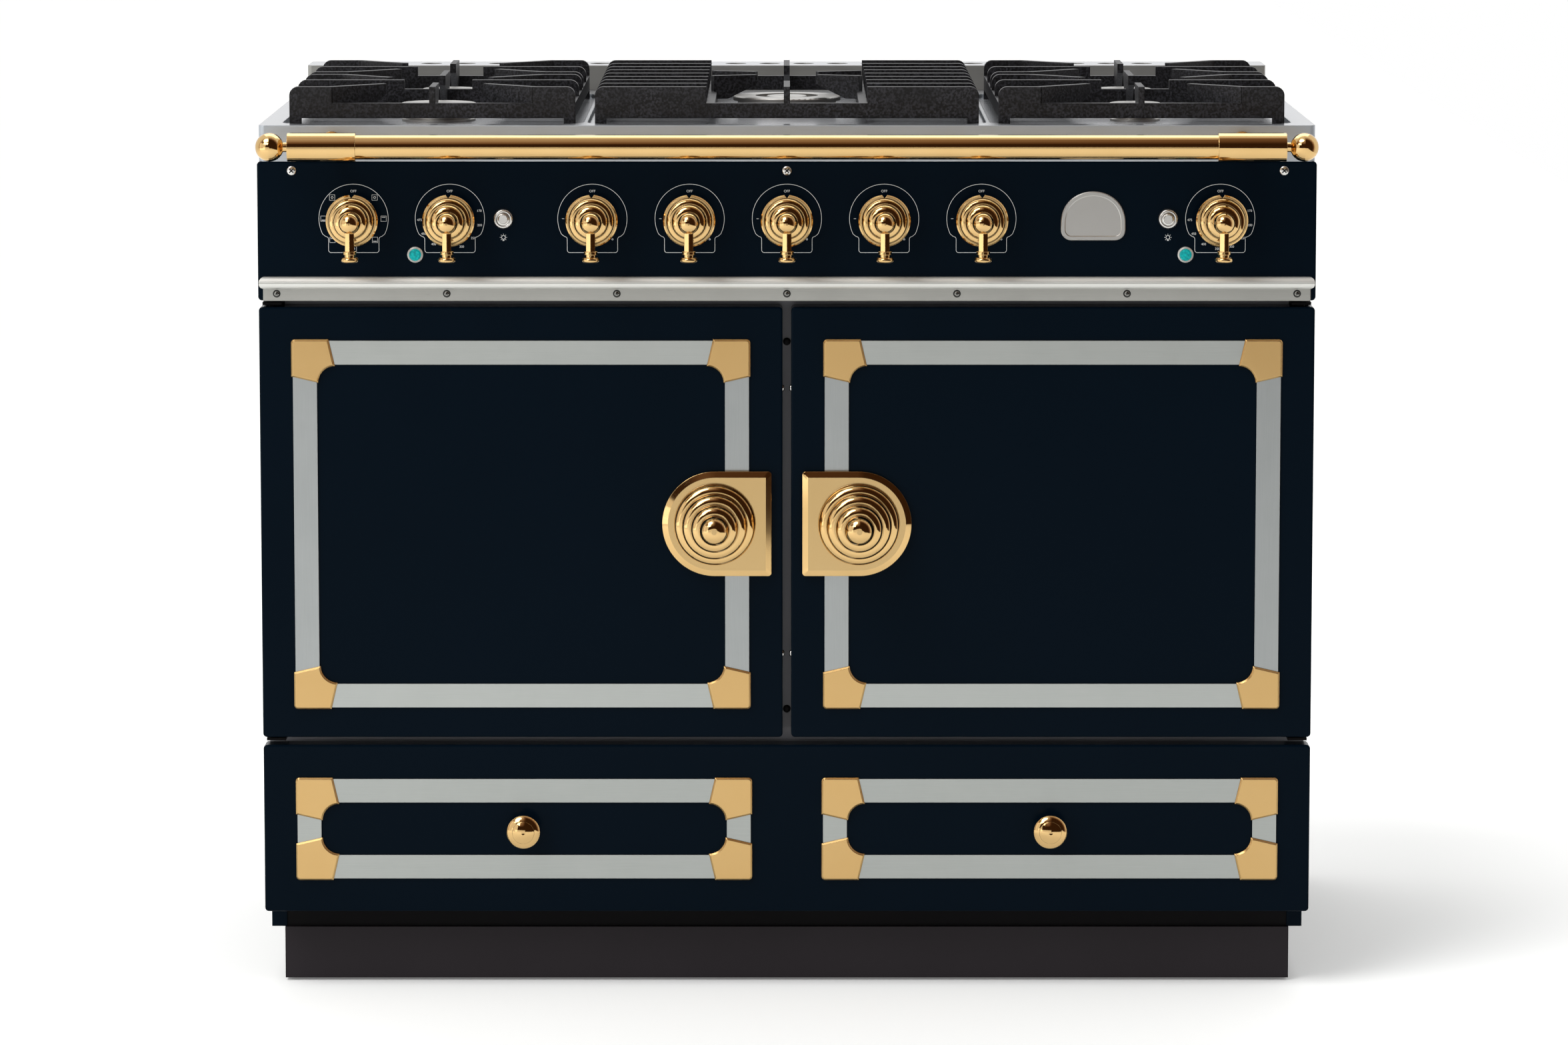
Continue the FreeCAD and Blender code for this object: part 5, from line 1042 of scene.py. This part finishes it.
@dataclass
class Fasteners:
    """Cross-head screws of the panel and its strip, door-edge screws and rubber door buffers."""

    rack: FinishRack
    panel_screws: tuple[Point, ...] = ((-514.0, 865.0), (0.0, 865.0), (516.0, 865.0))
    panel_screw_radius: float = 5.0
    strip_pitch: float = 176.8
    strip_level: float = 737.0
    strip_screw_radius: float = 3.0
    strip_screws: int = 7
    head_rise: float = 2.2
    head_dome: tuple[Point, ...] = (
        (1.0, 0.0), (1.0, 0.25), (0.92, 0.55), (0.72, 0.82), (0.4, 0.97), (0.0, 1.0))
    # A dark ring of painted shadow round the strip screws' heads: its height and its width
    seat_rise: float = 0.15
    strip_seat: float = 1.0
    # The crossed recess, drawn as dark strips of painted shade
    slot_share: float = 0.62
    slot_width: float = 0.24
    slot_lift: float = 0.05
    slot_turns: Point = (45.0, 135.0)
    smooth_angle: float = 50.0
    buffer_levels: tuple[float, ...] = (682.0, 292.0)
    buffer_radius: float = 4.0
    buffer_reach: float = 3.5
    buffer_dome: tuple[Point, ...] = ((1.0, 0.0), (1.0, 0.6), (0.6, 1.0), (0.0, 1.0))
    strip_flat: float = 2.5
    edge_screw_levels: tuple[float, ...] = (637.0, 357.0)
    edge_screw_radius: float = 3.6
    edge_screw_setback: float = 9.0

    def screw(
        self, name: str, place: Matrix, radius: float, body: str = CHASSIS, shade_ring: float = 0.0,
    ) -> None:
        """Make one domed screw; its crossed recess is not cut but drawn as dark strips just in front of the
        head, as painted shade.

        Args:
            name: The piece's name.
            place: Where the foot of its head is and which way it faces; unturned it faces the front.
            radius: The head's radius in millimetres.
            body: The body that carries it.
            shade_ring: How wide a dark ring of painted shadow shows round a dark head; none shows round a
                pale one.
        """
        mesh = bmesh.new()
        rise = self.head_rise
        lathe(mesh, [(radius * across, rise * up) for across, up in self.head_dome], Vector())
        # The crossed recess: dark strips laid just in front of the head, painted shade where the recess would
        # be
        cross = bmesh.new()
        arm = radius * self.slot_share
        half = radius * self.slot_width / 2
        level = -(rise + self.slot_lift)
        for turn in self.slot_turns:
            matrix = Matrix.Rotation(math.radians(turn), 4, "Y")
            corners = [matrix @ Vector((x * MM, level * MM, z * MM))
                       for x, z in ((-arm, -half), (arm, -half), (arm, half), (-arm, half))]
            cross.faces.new([cross.verts.new(corner) for corner in corners])
        # A dark disc round a dark head: painted shadow of the gap round a sunk screw
        if shade_ring:
            outer = radius + shade_ring
            lathe(cross, [(outer, 0.0), (outer, self.seat_rise), (0.0, self.seat_rise)], Vector())
        head = Finish.SCREW if shade_ring else Finish.BUTTON_STEEL
        for label, part, finish, slot in ((name, mesh, head, "button_steel"),
                                          (f"{name}_cross", cross, Finish.BUFFER, "seal_rubber")):
            piece = make_object(label, part)
            piece.matrix_world = place
            smooth(piece, self.smooth_angle)
            self.rack.coat(piece, finish)
            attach(piece, body)
            LOG.info("made %s", label)

    def edge_screws(self, side: Side, inner_edge: float, front: float) -> None:
        """Screw the inner edge of one door's pan to its liner.

        Args:
            side: Which door.
            inner_edge: The edge's place along x in metres.
            front: The door's front along y in metres.
        """
        turn = Matrix.Rotation(math.radians(90 * side.value), 4, "Z")
        for number, level in enumerate(self.edge_screw_levels, start=1):
            where = Vector((inner_edge, front + self.edge_screw_setback * MM, level * MM))
            self.screw(f"door_screw_{side.word}_{number}", Matrix.Translation(where) @ turn.inverted(),
                       self.edge_screw_radius, f"door_{side.word}")

    def build(self, panel_face: float, post_face: float) -> None:
        """Make the panel's screws and the buffers.

        Args:
            panel_face: The panel's front in metres along y.
            post_face: The centre post's front.
        """
        for number, (x, z) in enumerate(self.panel_screws, start=1):
            self.screw(f"panel_screw_{number}", Matrix.Translation((x * MM, panel_face, z * MM)),
                       self.panel_screw_radius)
        strip_face = panel_face - self.strip_flat * MM
        for number in range(self.strip_screws):
            x = self.strip_pitch * (number - (self.strip_screws - 1) / 2)
            self.screw(f"strip_screw_{number + 1}",
                       Matrix.Translation((x * MM, strip_face, self.strip_level * MM)),
                       self.strip_screw_radius, shade_ring=self.strip_seat)
        for number, level in enumerate(self.buffer_levels, start=1):
            mesh = bmesh.new()
            dome = [(self.buffer_radius * across, self.buffer_reach * up) for across, up in self.buffer_dome]
            lathe(mesh, dome, Vector((0, post_face, level * MM)))
            piece = make_object(f"door_buffer_{number}", mesh)
            smooth(piece, self.smooth_angle)
            self.rack.coat(piece, Finish.BUFFER)
            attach(piece, CHASSIS)
            LOG.info("made %s", piece.name)


@dataclass
class Studio:
    """A pale floor, soft light and the camera, in metres."""

    floor_x: Point = (-9.0, 2.2)
    floor_y: Point = (-8.0, 60.0)
    floor_colour: str = "#F6F6F4"
    floor_pale: str = "#FAFAF9"
    floor_cloud_mm: float = 900.0
    floor_roughness: float = 0.9
    floor_glow: float = 0.14
    room_light: float = 0.65
    room_dark: float = 0.06
    room_turn: Point = (-0.45, 0.15)
    room_tint: str = "#D8915C"
    ceiling: float = 1.0
    ceiling_rise: Point = (0.4, 0.95)
    ceiling_turn: Point = (0.25, -0.25)
    sun_strength: float = 1.1
    sun_angle: float = 28.0
    sun_way: tuple[float, float, float] = (0.5, 0.5, -1.0)
    softboxes: tuple[tuple[tuple[float, float, float], tuple[float, float], float], ...] = (
        ((-2.4, -3.2, 3.0), (1.8, 1.1), 4.5),
        ((0.0, 1.5, 3.3), (3.2, 2.2), 1.8),
        ((-2.4, -1.7, 1.1), (2.2, 2.0), 1.0),
        ((-3.2, -9.0, 0.7), (9.6, 1.4), 1.0),
    )
    aim: tuple[float, float, float] = (0.0, -0.3, 0.6)
    sensor: float = 36.0
    distance: float = 6.3
    height: float = 1.349
    pitch: float = 6.82
    lens: float = 139.7
    shift: float = -0.06
    offset_x: float = -0.003

    def build(self, face: float) -> None:
        """Set the view, the light, the floor and the camera.

        Args:
            face: The doors' front in metres along y.
        """
        scene = bpy.context.scene
        scene.view_settings.view_transform = "Standard"
        self.floor()
        self.world(scene)
        self.lamps()
        self.camera(scene, face)

    def floor(self) -> None:
        """Lay a wide pale floor that runs out to the white behind."""
        mesh = bmesh.new()
        corners = [(x, y) for x in self.floor_x for y in self.floor_y]
        mesh.faces.new([mesh.verts.new((*corners[number], 0)) for number in (0, 2, 3, 1)])
        piece = make_object("studio_floor", mesh)
        material, tree = new_material("pale_floor")
        clouds = add_node(tree, "ShaderNodeTexNoise", inputs={
            "Vector": scaled_coordinates(tree, (self.floor_cloud_mm,) * 3), "Scale": 1.0})
        tone = add_node(tree, "ShaderNodeMix", {"data_type": "RGBA"}, {
            0: clouds.outputs["Fac"], 6: linear(self.floor_colour), 7: linear(self.floor_pale)})
        glow = add_node(tree, "ShaderNodeMath", {"operation": "MULTIPLY"}, {
            0: self.looked_at(tree), 1: self.floor_glow})
        shader = add_node(tree, "ShaderNodeBsdfPrincipled", inputs={
            "Base Color": tone.outputs[2], "Roughness": self.floor_roughness, "Specular IOR Level": 0.0,
            "Emission Color": WHITE, "Emission Strength": glow.outputs[0]})
        add_node(tree, "ShaderNodeOutputMaterial", inputs={"Surface": shader.outputs["BSDF"]})
        piece.data.materials.append(material)

    def world(self, scene: bpy.types.Scene) -> None:
        """Light the room evenly; metal sees it white behind, and dark in front but for the upper left.

        Args:
            scene: The scene whose world is set.
        """
        world = bpy.data.worlds.new("studio_room")
        scene.world = world
        world.use_nodes = True
        tree = world.node_tree
        tree.nodes.clear()
        source = add_node(tree, "ShaderNodeTexCoord")
        split = add_node(tree, "ShaderNodeSeparateXYZ", inputs={0: source.outputs["Generated"]})
        room = add_node(tree, "ShaderNodeMapRange", {"interpolation_type": "SMOOTHSTEP"}, {
            "Value": split.outputs["Y"], "From Min": self.room_turn[0], "From Max": self.room_turn[1],
            "To Min": self.room_dark, "To Max": 1.0})
        above = add_node(tree, "ShaderNodeMapRange", inputs={
            "Value": split.outputs["Z"], "From Min": self.ceiling_rise[0], "From Max": self.ceiling_rise[1],
            "To Max": self.ceiling})
        leftward = add_node(tree, "ShaderNodeMapRange", {"interpolation_type": "SMOOTHSTEP"}, {
            "Value": split.outputs["X"], "From Min": self.ceiling_turn[0], "From Max": self.ceiling_turn[1]})
        ceiling = add_node(tree, "ShaderNodeMath", {"operation": "MULTIPLY"}, {
            0: above.outputs["Result"], 1: leftward.outputs["Result"]})
        backdrop = add_node(tree, "ShaderNodeMath", {"operation": "MAXIMUM"}, {
            0: room.outputs["Result"], 1: ceiling.outputs[0]})
        path = add_node(tree, "ShaderNodeLightPath")
        seen = add_node(tree, "ShaderNodeMath", {"operation": "MAXIMUM"}, {
            0: path.outputs["Is Camera Ray"], 1: backdrop.outputs[0]})
        look = self.looked_at(tree)
        strength = add_node(tree, "ShaderNodeMix", {"data_type": "FLOAT"}, {
            0: look, 2: self.room_light, 3: seen.outputs[0]})
        whiteness = add_node(tree, "ShaderNodeMix", {"data_type": "FLOAT"}, {
            0: look, 2: 1.0, 3: seen.outputs[0]})
        tint = add_node(tree, "ShaderNodeMix", {"data_type": "RGBA"}, {
            0: whiteness.outputs[0], 6: linear(self.room_tint), 7: WHITE})
        light = add_node(tree, "ShaderNodeBackground", inputs={
            "Color": tint.outputs[2], "Strength": strength.outputs[0]})
        add_node(tree, "ShaderNodeOutputWorld", inputs={"Surface": light.outputs[0]})

    def looked_at(self, tree: bpy.types.NodeTree) -> bpy.types.NodeSocket:
        """Tell a look, straight or in metal or glass, from light that falls on something.

        Args:
            tree: The tree of the floor or the world.

        Returns:
            A socket that is one for a look.
        """
        path = add_node(tree, "ShaderNodeLightPath")
        mirrored = add_node(tree, "ShaderNodeMath", {"operation": "MAXIMUM"}, {
            0: path.outputs["Is Glossy Ray"], 1: path.outputs["Is Transmission Ray"]})
        direct = add_node(tree, "ShaderNodeMath", {"operation": "MAXIMUM"}, {
            0: path.outputs["Is Camera Ray"], 1: mirrored.outputs[0]})
        return direct.outputs[0]

    def lamps(self) -> None:
        """Hang a broad key light at the upper left and the softboxes that the brass mirrors."""
        collection = bpy.context.scene.collection
        data = bpy.data.lights.new("key_light", "SUN")
        data.energy = self.sun_strength
        data.angle = math.radians(self.sun_angle)
        key = bpy.data.objects.new("key_light", data)
        collection.objects.link(key)
        key.rotation_euler = Vector(self.sun_way).to_track_quat("-Z", "Y").to_euler()
        for number, (where, size, radiance) in enumerate(self.softboxes, start=1):
            data = bpy.data.lights.new(f"softbox_{number}", "AREA")
            data.shape = "RECTANGLE"
            data.size, data.size_y = size
            data.energy = radiance * math.pi * size[0] * size[1]
            lamp = bpy.data.objects.new(f"softbox_{number}", data)
            collection.objects.link(lamp)
            lamp.location = where
            lamp.rotation_euler = (Vector(self.aim) - Vector(where)).to_track_quat("-Z", "Y").to_euler()

    def camera(self, scene: bpy.types.Scene, face: float) -> None:
        """Stand the camera where the photograph was taken.

        Args:
            scene: The scene that gets the camera.
            face: The doors' front in metres along y.
        """
        data = bpy.data.cameras.new("photo_camera")
        data.sensor_width = self.sensor
        data.lens = self.lens
        data.shift_y = self.shift
        camera = bpy.data.objects.new("photo_camera", data)
        scene.collection.objects.link(camera)
        camera.location = (self.offset_x, face - self.distance, self.height)
        camera.rotation_euler = (math.radians(90 - self.pitch), 0, 0)
        scene.camera = camera


def knob_axes(joints: Mapping[str, Mapping[str, object]]) -> dict[str, Vector]:
    """Find each knob's axis from the frame's joints.

    Args:
        joints: The record's joints by name.

    Returns:
        A point on each knob's axis by the knob's name.
    """
    axes: dict[str, Vector] = {}
    for name, joint in joints.items():
        if name.startswith("knob_") and name.endswith("_turn"):
            axes[name[len("knob_"):-len("_turn")]] = Vector(joint["pos_m"])
        elif name.startswith("tap_"):
            axes[f"burner_{name.split('_')[1]}"] = Vector(joint["pos_m"])
    return axes


def main() -> None:
    """Load the frame, dress it, add the small pieces and set the studio."""
    logging.basicConfig(level=logging.INFO, format="%(name)s: %(message)s")
    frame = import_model()
    rack = FinishRack()
    Casing(rack, frame).dress()
    joints = {joint["name"]: joint for joint in frame["record"]["behaviour"]["joints"]}
    axes = knob_axes(joints)
    panel_low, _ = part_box("control_panel")
    face = panel_low[1]
    buttons = []
    for side in Side:
        low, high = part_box(f"light_button_{side.word}")
        buttons.append((Vector(low) + Vector(high)) / 2)
    PanelPrint(rack).build(face, axes, buttons)
    BadgePlate(rack).build(face, axes["burner_3"].z)
    ButtonRings(rack).build(face, buttons)
    fasteners = Fasteners(rack)
    fasteners.build(face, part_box("front_frame")[0][1])
    for side in Side:
        low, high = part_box(f"door_panel_{side.word}")
        fasteners.edge_screws(side, high[0] if side is Side.LEFT else low[0], low[1])
    Studio().build(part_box("door_panel_left")[0][1])


if __name__ == "__main__":
    main()
